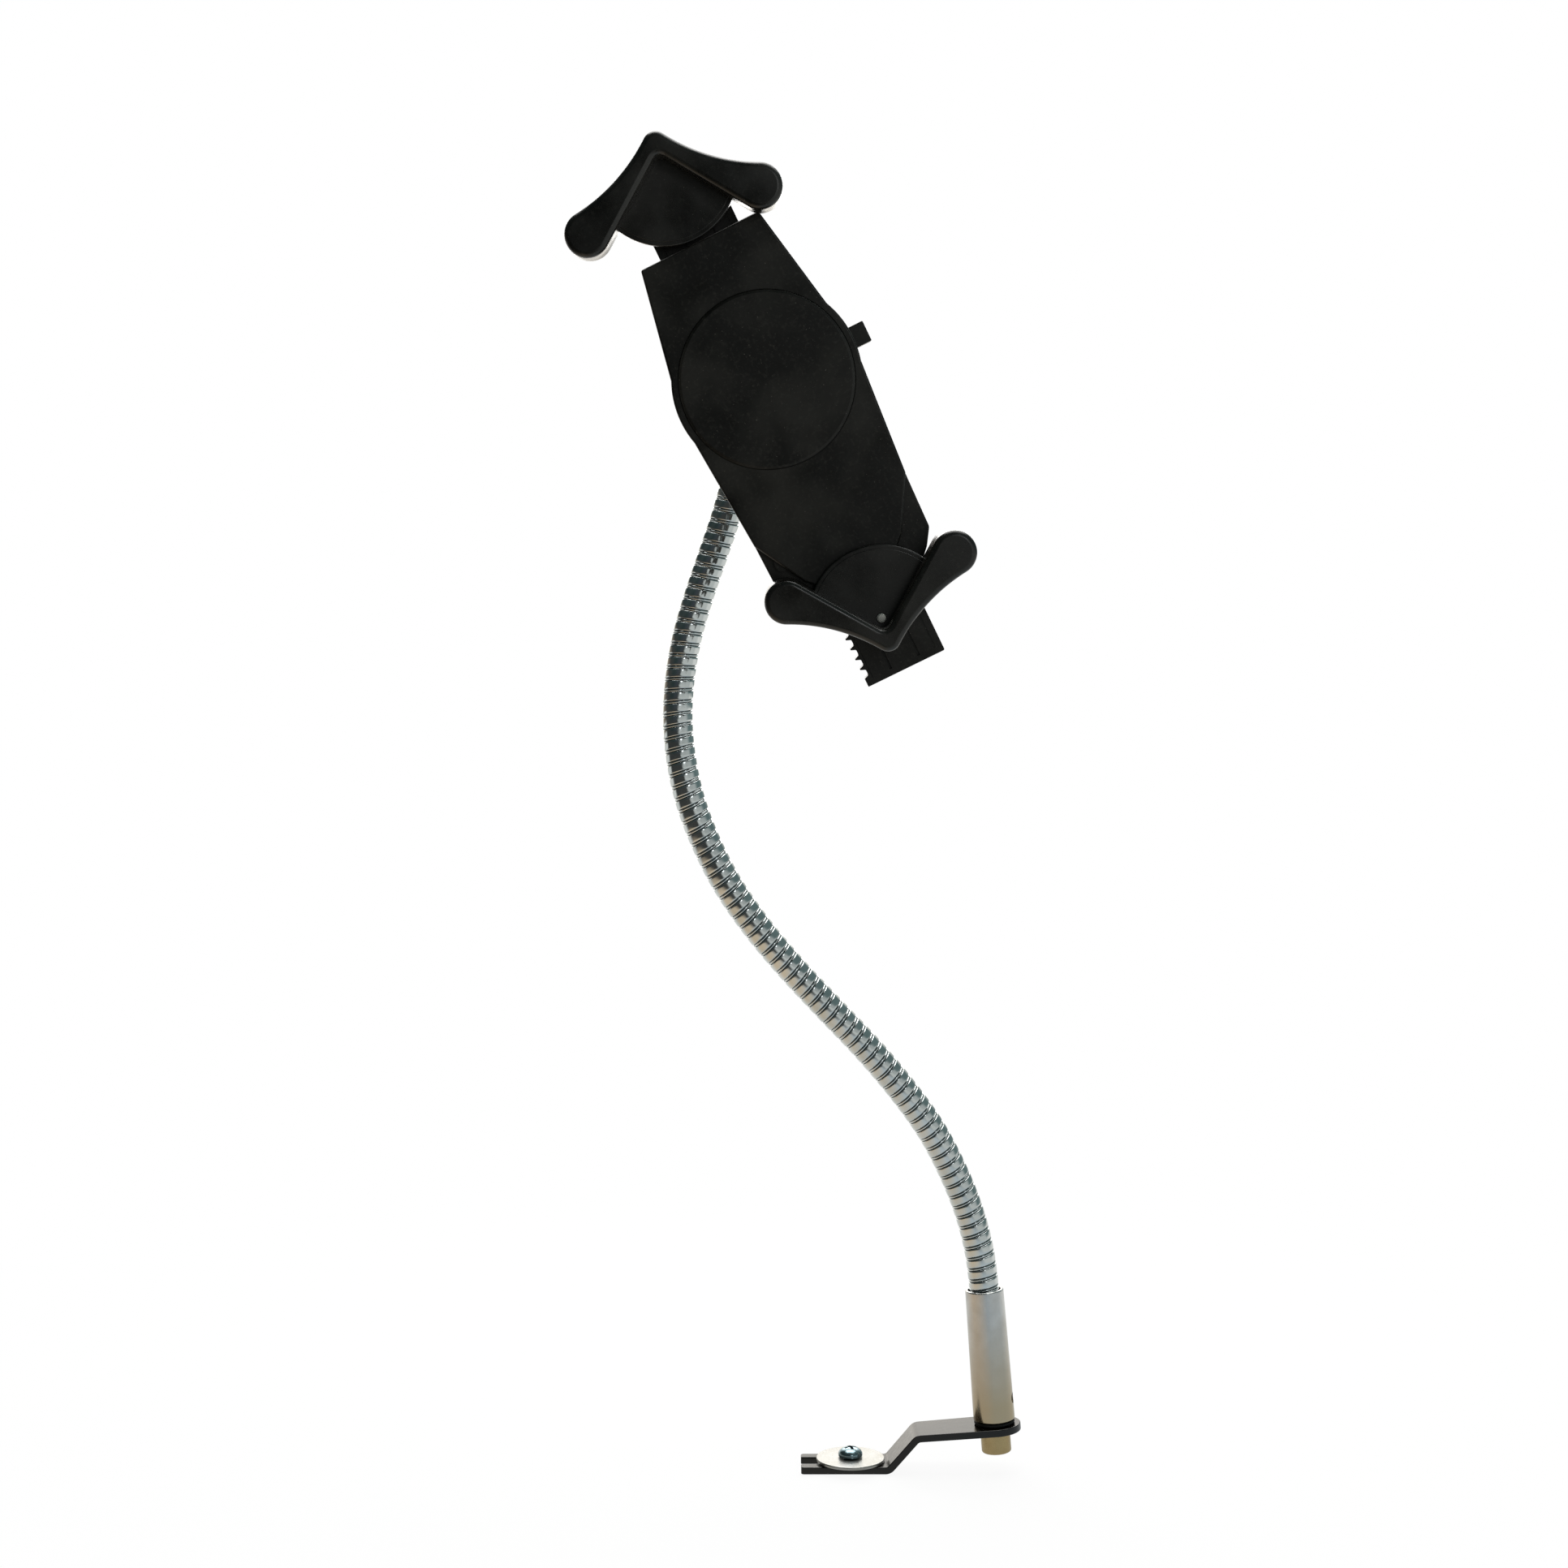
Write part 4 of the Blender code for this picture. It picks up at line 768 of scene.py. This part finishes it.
class Sleeve:
    """One winding surface between two of its turns: rows of a profile, wrapped as a helix."""

    def __init__(self, neck, profile, first_turn, last_turn, offset):
        self.rows_per_turn = len(profile)
        self.rows = (last_turn - first_turn) * self.rows_per_turn + 1
        self.offset = offset
        places = np.arange(self.rows + self.rows_per_turn), np.arange(NECK_COLUMNS)
        row, column = np.meshgrid(*places, indexing="ij")
        row, column = row.ravel(), column.ravel()
        kept = (row < self.rows) | (column == 0)
        row, column = row[kept], column[kept]
        lead = np.array([entry[0] for entry in profile])[row % self.rows_per_turn]
        reach = np.array([entry[1] for entry in profile])[row % self.rows_per_turn]
        turn = first_turn + row // self.rows_per_turn + column / NECK_COLUMNS
        distance = turn * NECK_PITCH + lead
        self.places = neck.surface(distance, reach, 2 * math.pi * column / NECK_COLUMNS)
        self.depth = (NECK_OUTSIDE - reach) / GROOVE_DEPTH

    def index(self, row, column):
        if column == NECK_COLUMNS:
            return self.index(row + self.rows_per_turn, 0)
        if row < self.rows:
            return self.offset + row * NECK_COLUMNS + column
        return self.offset + self.rows * NECK_COLUMNS + row - self.rows

    def faces(self):
        return [(self.index(row, column), self.index(row, column + 1), self.index(row + 1, column + 1),
                 self.index(row + 1, column))
                for row in range(self.rows - 1) for column in range(NECK_COLUMNS)]

    def step(self, row):
        """The edge that runs along the neck where a row's end meets its next turn."""
        return [self.index(row + offset, 0) for offset in range(self.rows_per_turn + 1)]


def wound_tube(neck, first_turn, last_turn):
    """A closed length of the gooseneck: the winding outside, a plain bore, and a stepped wall at each end."""
    outer = Sleeve(neck, WINDING, first_turn, last_turn, 0)
    inner = Sleeve(neck, [(0.0, NECK_INNER)], first_turn, last_turn, len(outer.places))
    faces = outer.faces() + [face[::-1] for face in inner.faces()]
    for outer_row, inner_row, flip in ((0, 0, 1), (outer.rows - 1, inner.rows - 1, -1)):
        for column in range(NECK_COLUMNS):
            wall = (outer.index(outer_row, column), inner.index(inner_row, column),
                    inner.index(inner_row, column + 1), outer.index(outer_row, column + 1))
            faces.append(wall[::flip])
        faces.append((outer.step(outer_row) + inner.step(inner_row)[::-1])[::-flip])
    mesh = bpy.data.meshes.new("wound_tube")
    mesh.from_pydata(np.concatenate([outer.places, inner.places]).tolist(), [], faces)
    # Painted shade mask: 0 on the crests, 1 at the groove bottoms and all through the bore, which the chrome darkens.
    groove_shade = mesh.attributes.new("groove_shade", "FLOAT", "POINT")
    depths = np.concatenate([outer.depth, np.ones(len(inner.places))])
    groove_shade.data.foreach_set("value", depths.astype(np.float32))
    work = bmesh.new()
    work.from_mesh(mesh)
    bmesh.ops.recalc_face_normals(work, faces=work.faces)
    work.to_mesh(mesh)
    work.free()
    return mesh


def gooseneck():
    """Four lengths of winding, each spanning one of the neck's hinges and meeting the next in mid-segment."""
    neck = Neck()
    bodies = ["post", "neck_2", "neck_3", "neck_4", "neck_5"]
    span = neck.length / len(bodies)
    last = int(neck.length / NECK_PITCH) - 1
    turns = [0] + [round((index + 1.5) * span / NECK_PITCH) for index in range(3)] + [last]
    for index in range(4):
        mesh = wound_tube(neck, turns[index], turns[index + 1])
        nodes = [f"neck_segment_{index + 1}"] + (["neck_segment_5"] if index == 3 else [])
        item = piece(f"gooseneck_{index + 1}", mesh, TO_METRES, None, "neck_chrome", *nodes, angle=65.0)
        item.modifiers.clear()
        heading = neck.heading((index + 1) * span)
        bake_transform(item)


def neck_collar():
    bore = 6.5
    outside = 7.7
    start = 13.4
    end = 31.0
    stud_bore = 3.4
    floor = start + 5.0
    corners = [(bore, end, 0.3), (outside, end, 0.5), (outside, start + 4.2, 0.4),
               (outside - 0.5, start + 3.7, 0.2), (outside - 0.5, start + 3.0, 0.2),
               (outside, start + 2.5, 0.3), (outside, start + 1.2, 0.4),
               (outside - 1.2, start, 0.3), (stud_bore, start, 0.2), (stud_bore, floor, 0),
               (bore, floor, 0)]
    piece("collar", turned(rounded(corners, 4), 96), STUD, "neck_5", "nickel", "neck_collar")


def ball_stud():
    shank = 3.4
    thread_radius = 3.1
    face = 13.1
    end = 18.0
    last = math.asin(shank / BALL_RADIUS)
    ball = bow(BALL_RADIUS, last, math.pi, 32)
    ball[-1] = (0.0, -BALL_RADIUS)
    profile = [(0, end), (thread_radius - 0.4, end)]
    profile += thread(thread_radius, face + 0.4, end - 0.3, 1.0, 0.35)
    profile += [(thread_radius, face), (shank, face)] + ball
    piece("ball", turned(profile, 72), STUD, "neck_5", "nickel", "ball_stud")


# ---------------------------------------------------------------- head joint

def ball_seat():
    """The nylon cup round the ball."""
    inner = 8.3
    outer = 10.2
    low, high = math.radians(58), math.radians(122)
    profile = bow(outer, low, high, 20) + bow(inner, low, high, 20)[::-1]
    piece("seat", turned(profile, 72), SOCKET, "ball_seat", "seat_nylon", "ball_seat")


def lock_ring():
    """The clamp ring, with scalloped grips, a plain bore and a lip behind the seat."""
    outside = 18.5
    front = BOSS_DEPTH - BALL_DEPTH - 7.0
    back = front + 16.5
    bore = BOSS_RADIUS + 0.3
    ledge = BOSS_DEPTH - BALL_DEPTH + 0.3
    opening = math.radians(54)
    lip = bow(BALL_CUP, math.acos(ledge / BALL_CUP), opening, 16)
    mouth = lip[-1][0] + (back - lip[-1][1]) * math.tan(opening)
    corners = [(mouth, back, 0.3), (outside - 2.2, back, 1.2), (outside, back - 2.4, 1.4),
               (outside, front, 1.2), (bore + 0.6, front, 0.3), (bore, front + 0.6, 0),
               (bore, ledge, 0)]
    profile = rounded(corners + [(*lip[0], 0)], 6)[:-1] + lip
    grips = 10
    groove_radius = 2.7
    groove_centre = outside + 1.5

    def scalloped(reach, height, angle):
        if reach < outside - 4:
            return reach
        offset = (angle + math.pi / grips) % (2 * math.pi / grips) - math.pi / grips
        across = groove_centre * math.sin(abs(offset))
        if across >= groove_radius:
            return reach
        floor = groove_centre * math.cos(offset) - math.sqrt(groove_radius ** 2 - across ** 2)
        return reach - max(0.0, outside - floor)

    piece("ring", turned(profile, 360, scalloped), SOCKET, "lock_ring", "bar_plastic",
          "lock_ring", angle=34.0)


# ---------------------------------------------------------------- housing

def housing_half():
    """Top corner and the bulge round the disc, shared by the housing and its raised face."""
    return [(22.9, 53.1, 0.9)] + arc((0, 0), BULGE_RADIUS, 25.4, -14.4, 24)


def housing_outline():
    """The whole housing from the front, right half first."""
    half = housing_half()
    half += [(29.8, -50.5, 5), (29.3, -71.5, 3), (25.5, -77.5, 2)]
    half += arc((0, LOWER_PIVOT.z), NOSE_RADIUS, -48, -90, 10)
    return mirrored(half)


def raised_outline():
    """The raised front face, narrowed to a tongue between the lower jaw's arms."""
    half = housing_half()
    half += [(29.8, -50.5, 1.5), (19.3, -69.3, 1.5), (12.6, -76.0, 2),
             (8.6, -80.0, 1.5)]
    return mirrored(half)


def bar_openings(front, back):
    """Where the bar passes through the ends of a shell."""
    half = BAR_HALF + 0.3
    return [block((-half, front, 45), (half, back, 60)),
            block((-half, front, -110), (half, back, -70))]


def button_opening():
    return block((28, 5.9, -4.15), (40, 13.1, 4.15))


def screw_drums(radius, front, back, steps=32):
    return [drum(radius, front, back, x, z, steps) for x, z in SCREW_PLACES]


def front_shell():
    mesh = plate(housing_outline(), STEP_DEPTH, SHELL_SPLIT, 0.5, 0.15, 3)
    mesh = joined(mesh, plate(raised_outline(), 0, STEP_DEPTH + 1, 0.8, 0.0, 5))
    pocket = plate(inset(housing_outline(), WALL), 5.2, SHELL_SPLIT + 2)
    hollow = plate(inset(raised_outline(), 2 * WALL), 2.4, 5.6)
    mesh = joined(cut(mesh, pocket, hollow), *screw_drums(3.1, 1.9, SHELL_SPLIT))
    tools = screw_drums(1.45, 3.6, 12) + bar_openings(5.2, SHELL_SPLIT + 2)
    tools += [button_opening(), drum(PAD_RADIUS + 0.25, -3, 1.2, steps=160),
              drum(PIN_RADIUS + 0.3, -3, 9, LOWER_PIVOT.x, LOWER_PIVOT.z, 32)]
    piece("front_cover", cut(mesh, *tools), HEAD, "head", "shell_plastic", "front_shell", angle=32.0)


def rear_shell():
    front = SHELL_SPLIT + SHELL_GAP
    wall_front = HOUSING_DEPTH - 2.4
    mesh = cut(plate(housing_outline(), front, HOUSING_DEPTH, 0.15, 3.0, 6),
               plate(inset(housing_outline(), WALL), front - 2, wall_front - 1.5),
               plate(inset(housing_outline(), WALL + 1.4), front, wall_front))
    ribs = []
    for side in (-1, 1):
        guide = side * (BAR_HALF + 1.05)
        for low, high in ((8.6, 51), (-76, -8.6)):
            ribs.append(block((guide - 0.75, front, low), (guide + 0.75, wall_front + 1, high)))
            ribs.append(block((side * 9 - 1, BAR_BACK + 0.3, low),
                              (side * 9 + 1, wall_front + 1, high)))
    mesh = joined(mesh, *ribs, *screw_drums(3.1, front, wall_front + 1))
    boss = turned(rounded([(0, -1, 0), (BOSS_RADIUS + 2, -1, 0), (BOSS_RADIUS + 2, 0, 0),
                           (BOSS_RADIUS, 0.001, 0), (BOSS_RADIUS, 9, 0.6), (0, 9, 0)], 4, False), 96)
    mesh = joined(mesh, moved(boss, facing(Matrix.Identity(4), (0, HOUSING_DEPTH, 0), False)))
    ball = turned(bow(BALL_CUP, 0, math.pi, 32), 72)
    tools = [moved(ball, facing(Matrix.Identity(4), (0, BALL_DEPTH, 0), False))]
    tools += screw_drums(1.45, 5, 25) + screw_drums(2.9, 16.7, 25)
    tools += bar_openings(front - 2, BAR_BACK + 0.3) + [button_opening()]
    piece("rear_cover", cut(mesh, *tools), HEAD, "head", "shell_plastic", "rear_shell", angle=32.0)


def front_pad():
    rim = PAD_RADIUS
    corners = [(0, PAD_PROUD, 0), (rim - 1.0, PAD_PROUD, 0.3), (rim, PAD_PROUD - 0.35, 0.3),
               (rim, -0.9, 0.15), (0, -0.9, 0)]
    place = facing(HEAD, (0, 0, 0), True)
    piece("pad", turned(rounded(corners, 5, False), 180), place, "head", "pad_rubber", "front_pad",
          angle=30.0)


def housing_screws():
    seat = 17.0
    top = 18.6
    tip = 4.0
    shank = 1.15
    for index, (x, z) in enumerate(SCREW_PLACES):
        corners = [(0, top, 0), (2.6, top, 0.7), (2.6, seat, 0.15), (shank, seat, 0)]
        profile = rounded(corners, 5, False) + thread(shank, tip + 1, seat - 0.3, 1.1, 0.25)
        profile += [(0.4, tip), (0, tip)]
        mesh = cut(turned(profile, 48), *driver_recess(top, 1.0, 0.65, 2.9))
        place = facing(HEAD, (x, 0, z), False)
        piece(f"cover_screw_{index + 1}", mesh, place, "head", "blue_zinc", f"housing_screw_{index + 1}")


# ---------------------------------------------------------------- clamp

def bar_outline():
    """The bar from the front: plain right edge, narrow teeth with rounded gullets up its left edge."""
    half = BAR_HALF
    shoulder = 64
    crown = UPPER_PIVOT.z + 6.5
    outline = [(half, shoulder, 4), (half * 0.52, crown - 3, 3), (half * 0.34, crown, 2),
               (-half * 0.34, crown, 2), (-half * 0.52, crown - 3, 3), (-half, shoulder, 4)]
    root = -half + 1.8
    tip_half = 0.25
    foot_half = 0.95
    sharp = 0.1
    gullet = 0.6
    first = BAR_BOTTOM + 3.0
    for index in reversed(range(TOOTH_COUNT)):
        tip = first + index * TOOTH_PITCH
        above = tip + TOOTH_PITCH
        outline += [(-half, above - tip_half, sharp), (root, above - foot_half, gullet),
                    (root, tip + foot_half, gullet), (-half, tip + tip_half, sharp)]
    return outline + [(-half, BAR_BOTTOM, 0.3), (half, BAR_BOTTOM, 0.6)]


def ratchet_bar():
    mesh = plate(bar_outline(), BAR_FRONT, BAR_BACK, 0.2, 0.2, 2)
    groove_top = 60
    groove_low = BAR_BOTTOM + 2.4
    deep = BAR_FRONT + 0.9
    shallow = BAR_FRONT + 0.35
    tools = [block((-5.7, BAR_FRONT - 1, groove_low), (-4.7, deep, groove_top)),
             block((5.5, BAR_FRONT - 1, groove_low), (6.5, deep, groove_top)),
             block((12.0, BAR_FRONT - 1, groove_low), (12.7, shallow, groove_top)),
             block((-12.5, BAR_FRONT - 1, groove_low), (-12.3, shallow, groove_top)),
             drum(PIN_RADIUS + 0.3, 0, 20, UPPER_PIVOT.x, UPPER_PIVOT.z, 32)]
    for low in (-106, -90, -74):
        tools.append(block((-3.6, BAR_BACK - 0.6, low), (4.4, BAR_BACK + 1, low + 13)))
    piece("bar", cut(mesh, *tools), HEAD, "bar", "bar_plastic", "ratchet_bar", angle=34.0)


JAW_HALF_ANGLE = math.radians(44.5)
JAW_CORNER = 4.3
JAW_REACH = 35.7
JAW_LOBE = 7.85
JAW_WAIST = 6.2
JAW_APEX = 4.6
JAW_FRONT = -15.4
SECTOR_RADIUS = 26.1
SECTOR_FRONT = -3.4
SECTOR_BACK = -0.4


def jaw_outline():
    """A V that opens downwards: waisted arms with round ends, and its inner corner above the pivot."""
    along = Vector((math.sin(JAW_HALF_ANGLE), -math.cos(JAW_HALF_ANGLE)))
    outward = Vector((math.cos(JAW_HALF_ANGLE), math.sin(JAW_HALF_ANGLE)))
    corner = Vector((0, JAW_CORNER))
    lobe = corner + along * JAW_REACH + outward * JAW_LOBE
    rise = JAW_LOBE - JAW_WAIST
    sweep = (JAW_REACH ** 2 + rise ** 2 - JAW_LOBE ** 2) / (2 * (JAW_LOBE + rise))
    hollow = corner + outward * (JAW_WAIST + sweep)
    apex = Vector((0, hollow.y - math.sqrt((sweep + JAW_APEX) ** 2 - hollow.x ** 2)))

    def heading(centre, point):
        return math.degrees(math.atan2(point.y - centre.y, point.x - centre.x))

    half = arc(apex, JAW_APEX, 90, heading(apex, hollow), 10)
    half += arc(hollow, sweep, heading(hollow, apex), heading(hollow, lobe), 24)[1:]
    half += arc(lobe, JAW_LOBE, heading(lobe, hollow), math.degrees(JAW_HALF_ANGLE) - 180, 30)[1:]
    half.append((corner.x, corner.y, 2.8))
    return mirrored(half)


def sector(radius, front, back, edge):
    """Part of a disc about the pivot, a little wider than the V's arms leave open."""
    return plate([(0, JAW_CORNER + 3, 0)] + arc((0, 0), radius, -144, -36, 48), front, back, edge, edge, 3)


def jaw(name, pivot, turn, back, hub_back, hole_front):
    mesh = plate(jaw_outline(), JAW_FRONT, back, 2.0, 0.8, 8)
    mesh = joined(mesh, sector(SECTOR_RADIUS, SECTOR_FRONT + 0.5, SECTOR_BACK, 0.45),
                  sector(SECTOR_RADIUS - 1.5, SECTOR_FRONT, SECTOR_BACK - 1, 0.15),
                  drum(6, SECTOR_FRONT + 1, hub_back, steps=48, edge=0.2))
    mesh = cut(mesh, drum(PIN_RADIUS + 0.2, hole_front, 20, steps=40))
    piece(f"{name}_grip", mesh, jaw_frame(pivot, turn), name, "jaw_plastic", name, angle=34.0)


def pivot_pin(name, pivot, head, end, body):
    """A round pin with a low domed head, from one height to the other in front of the head's face."""
    corners = [(0, head, 0), (PIN_RADIUS * 0.75, head - 0.12, 0.3), (PIN_RADIUS, head - 0.5, 0.3),
               (PIN_RADIUS, end, 0.3), (0, end, 0)]
    mesh = turned(rounded(corners, 5, False), 48)
    piece(f"{name}_rivet", mesh, facing(HEAD, pivot, True), body, "pin_steel", name)


# ---------------------------------------------------------------- release

def release_button():
    front = 6.2
    back = 12.8
    face = 39.4
    half = 3.85
    mesh = joined(block((30, front, -half), (face, back, half), 0.45),
                  block((26.9, front, -5.4), (30.4, back, 5.4), 0.3))
    piece("button", mesh, HEAD, "release", "bar_plastic", "release_button", angle=34.0)


def latch_slide():
    """The slide behind the bar: a pawl at its left end, the button's arm at its right."""
    half = 6.0
    arm_front = 5.9
    edge = 0.4
    tooth = [(-17.5, 2.2, 0), (-15.55, 0.5, 0.2), (-15.55, -0.2, 0.2),
             (-17.5, -1.6, 0)]
    spigot = moved(turned(rounded([(0, 0, 0), (1.4, 0, 0), (1.4, 3.5, 0.5), (0, 3.5, 0)],
                                  4, False), 32), Matrix.Rotation(-math.pi / 2, 4, "Y"))
    spigot.transform(Matrix.Translation((-19.0, 8.6, 0)))
    mesh = joined(block((-19.4, 11, -half), (26.6, 13, half), edge),
                  block((23.6, 6.4, -half), (26.6, 12, half), edge),
                  block((-19.4, arm_front, -half), (-17, 12, half), edge),
                  plate(tooth, arm_front, 10.1, 0.15, 0.15, 2), spigot)
    piece("latch", mesh, HEAD, "release", "bar_plastic", "latch_slide")


def latch_spring():
    """A wound wire at an even pitch."""
    turns = 5
    radius = 2.3
    wire = 0.4
    start = -28.3
    length = 8.4
    curve = bpy.data.curves.new("latch_coil", "CURVE")
    curve.dimensions = "3D"
    curve.bevel_depth = wire
    curve.bevel_resolution = 3
    curve.use_fill_caps = True
    spline = curve.splines.new("POLY")
    steps = turns * 32
    spline.points.add(steps)
    for step, point in enumerate(spline.points):
        share = step / steps
        angle = 2 * math.pi * turns * share
        point.co = (start + length * share, 8.6 + radius * math.cos(angle), radius * math.sin(angle), 1)
    work = bmesh.new()
    work.from_mesh(evaluated(linked("wound_wire", curve)))
    bmesh.ops.remove_doubles(work, verts=work.verts, dist=0.001)
    piece("latch_coil", mesh_from(work), HEAD, "release", "pin_steel", "latch_spring")


def neck_cores():
    """The inner wires stay as they are in CAD, hidden in the winding."""
    for index in range(1, 6):
        frame["nodes"][f"neck_core_{index}"].material_slots[0].material = LOOKS["core_steel"]


# ---------------------------------------------------------------- stage, light, camera

# Metres
FLOOR_RADIUS = 8.0
FLOOR_DROP = 0.0004
CAMERA_PLACE = (-0.0365, -0.868, 0.278)
CAMERA_LENS = 49.0


def floor_material():
    """White paper to the camera; the metal reflects a bright sheet with a dark room in front of it."""
    look = Look("floor_paper", on_cad=True, Roughness=0.9, Specular_IOR_Level=0.1)
    look.colour(look.mix(look.spread(look.noise(3, 2), 0, 1), (0.86, 0.86, 0.86), (0.88, 0.88, 0.88)))
    distance = look.add("VectorMath", {0: look.place}, operation="LENGTH").outputs["Value"]
    white = look.add("Emission", {"Color": (1, 1, 1)}).outputs[0]
    paper = look.shared(look.spread(distance, 0.93, 1.0, 100, 600), look.shader.outputs["BSDF"], white)
    sheet = look.mix(look.spread(look.along("X"), 0, 1, -200, 60), SHEET_LEFT, SHEET_RIGHT)
    far = look.mix(look.spread(look.along("X"), 0, 1, 20, 320), SHEET_FAR, SHEET_FAR_RIGHT)
    sheet = look.mix(look.spread(distance, 0, 1, *SHEET_EDGE), sheet, far)
    sheet = look.mix(look.spread(look.along("Y"), 0, 1, -50, 250), sheet, SHEET_BEHIND)
    seen = look.add("LightPath").outputs["Is Camera Ray"]
    table = look.add("Emission", {"Color": sheet}).outputs[0]
    look.feed(look.tree.nodes["Material Output"].inputs["Surface"], look.shared(seen, table, paper))
    return look.material


def floor():
    work = bmesh.new()
    bmesh.ops.create_circle(work, cap_ends=True, segments=96, radius=FLOOR_RADIUS)
    mesh = mesh_from(work)
    mesh.materials.append(floor_material())
    item = linked("floor", mesh)
    item.location = (0, 0, -FLOOR_DROP)


def studio_world():
    """White behind for the camera; reflections see a dim room with a bright back wall and a dark ceiling."""
    world = bpy.data.worlds.new("studio")
    bpy.context.scene.world = world
    world.use_nodes = True
    world.node_tree.nodes.clear()
    nodes = Nodes(world.node_tree)

    def ramp(source, stops):
        made = nodes.add("ValToRGB", {"Fac": source})
        made.color_ramp.interpolation = "EASE"
        while len(made.color_ramp.elements) < len(stops):
            made.color_ramp.elements.new(0.5)
        for element, (position, colour) in zip(made.color_ramp.elements, stops):
            element.position = position
            element.color = (*[part / STUDIO_PEAK for part in colour], 1.0)
        return made.outputs["Color"]

    direction = nodes.add("TexCoord").outputs["Generated"]
    height = nodes.add("SeparateXYZ", {"Vector": direction}).outputs["Z"]
    rise = nodes.add("MapRange", {"Value": height, "From Min": -1.0}).outputs["Result"]
    turn = nodes.add("Mapping", {"Vector": direction, "Rotation": (0, 0, math.pi / 2)}).outputs["Vector"]
    azimuth = nodes.add("TexGradient", {"Vector": turn}, gradient_type="RADIAL").outputs["Fac"]
    edge = {"Value": rise, "From Min": CEILING_EDGE[0], "From Max": CEILING_EDGE[1]}
    share = nodes.add("MapRange", edge, interpolation_type="SMOOTHSTEP").outputs["Result"]
    room = nodes.mix(share, ramp(azimuth, ROOM_STOPS), ramp(azimuth, CEILING_STOPS))
    studio = nodes.add("Background", {"Color": room, "Strength": STUDIO_PEAK}).outputs[0]
    white = nodes.add("Background", {"Color": (1, 1, 1)}).outputs[0]
    seen = nodes.add("LightPath").outputs["Is Camera Ray"]
    nodes.add("OutputWorld", {"Surface": nodes.shared(seen, studio, white)})


STUDIO_PEAK = 2.6
ROOM_STOPS = [(0.0, (2.15, 2.03, 1.85)), (0.09, (1.5, 1.45, 1.35)), (0.17, (0.3, 0.25, 0.2)),
              (0.25, (0.06, 0.06, 0.055)), (0.38, (0.03, 0.045, 0.045)), (0.46, (0.05, 0.06, 0.07)),
              (0.51, (0.06, 0.07, 0.07)), (0.54, (0.42, 0.44, 0.43)), (0.68, (0.5, 0.53, 0.52)),
              (0.76, (0.14, 0.2, 0.2)), (0.92, (0.2, 0.26, 0.26)), (1.0, (2.15, 2.03, 1.85))]
CEILING_STOPS = [(0.0, (1.7, 1.65, 1.55)), (0.08, (0.9, 0.9, 0.86)), (0.16, (0.03, 0.045, 0.045)),
                 (0.5, (0.06, 0.08, 0.08)), (0.6, (0.13, 0.18, 0.18)), (0.84, (0.14, 0.2, 0.2)),
                 (0.92, (0.9, 0.9, 0.86)), (1.0, (1.7, 1.65, 1.55))]
CEILING_EDGE = (0.57, 0.66)
SHEET_LEFT = (0.72, 0.58, 0.42)
SHEET_RIGHT = (0.54, 0.6, 0.63)
SHEET_FAR = (0.05, 0.052, 0.05)
SHEET_FAR_RIGHT = (0.62, 0.64, 0.62)
SHEET_BEHIND = (0.85, 0.85, 0.82)
SHEET_EDGE = (360, 600)         # mm from the middle of the floor


def softbox(name, place, aim, width, height, power, colour=(1, 1, 1)):
    light = bpy.data.lights.new(name, "AREA")
    light.shape = "RECTANGLE"
    light.size = width
    light.size_y = height
    light.energy = power
    light.color = colour
    item = linked(name, light)
    item.location = place
    item.rotation_euler = (Vector(aim) - Vector(place)).to_track_quat("-Z", "Y").to_euler()


def lights():
    middle = (-0.02, -0.05, 0.25)
    softbox("overhead", (0.0, 0.15, 1.45), middle, 1.3, 0.9, 15, (1.0, 0.99, 0.97))
    softbox("lamp_right", (0.33, -1.2, 0.55), middle, 0.22, 0.3, 0.8, (0.96, 0.98, 1.0))
    softbox("rim_back", (0.0, 1.2, 0.9), middle, 1.4, 0.5, 9)


def camera():
    """Level, square to the bracket, at the height of the neck's middle."""
    data = bpy.data.cameras.new("camera")
    data.sensor_width = 36.0
    data.lens = CAMERA_LENS
    data.clip_start = 0.01
    item = linked("camera", data)
    item.location = CAMERA_PLACE
    item.rotation_euler = (math.pi / 2, 0, 0)
    bpy.context.scene.camera = item


# ---------------------------------------------------------------- build

FLOOR_FIXING = TO_METRES @ Matrix.Translation((FLOOR_SCREW_X, 0, 0))
HEAD = head_frame()
POST = post_frame()
STUD = stud_frame()
SOCKET = facing(HEAD, (0, BALL_DEPTH, 0), False)
LOOKS = {name: moulded(name, *values) for name, values in MOULDED.items()}
LOOKS.update({name: plated(name, *values) for name, values in PLATED.items()})
LOOKS.update({make.__name__: make() for make in (neck_chrome, black_paint, nickel_painted_warm_reflection)})

camera()
floor()
studio_world()
lights()
bpy.context.scene.view_settings.view_transform = "Standard"
for make in (offset_bracket, fender_washer, floor_screw, post_screw, swivel_washer, base_ferrule,
             ferrule_set_screw, neck_cores, gooseneck, neck_collar, ball_stud, ball_seat, lock_ring,
             rear_shell, front_shell, front_pad, housing_screws, ratchet_bar):
    make()
jaw("upper_jaw", UPPER_PIVOT, UPPER_TURN, back=-0.4, hub_back=5.2, hole_front=-2.4)
jaw("lower_jaw", LOWER_PIVOT, math.pi + LOWER_TURN, back=2.9, hub_back=2.9, hole_front=JAW_FRONT)
pivot_pin("upper_pivot_pin", UPPER_PIVOT, head=2.1, end=-10.5, body="bar")
pivot_pin("lower_pivot_pin", LOWER_PIVOT, head=3.9, end=-5.0, body="head")
release_button()
latch_slide()
latch_spring()

bpy.context.view_layer.update()
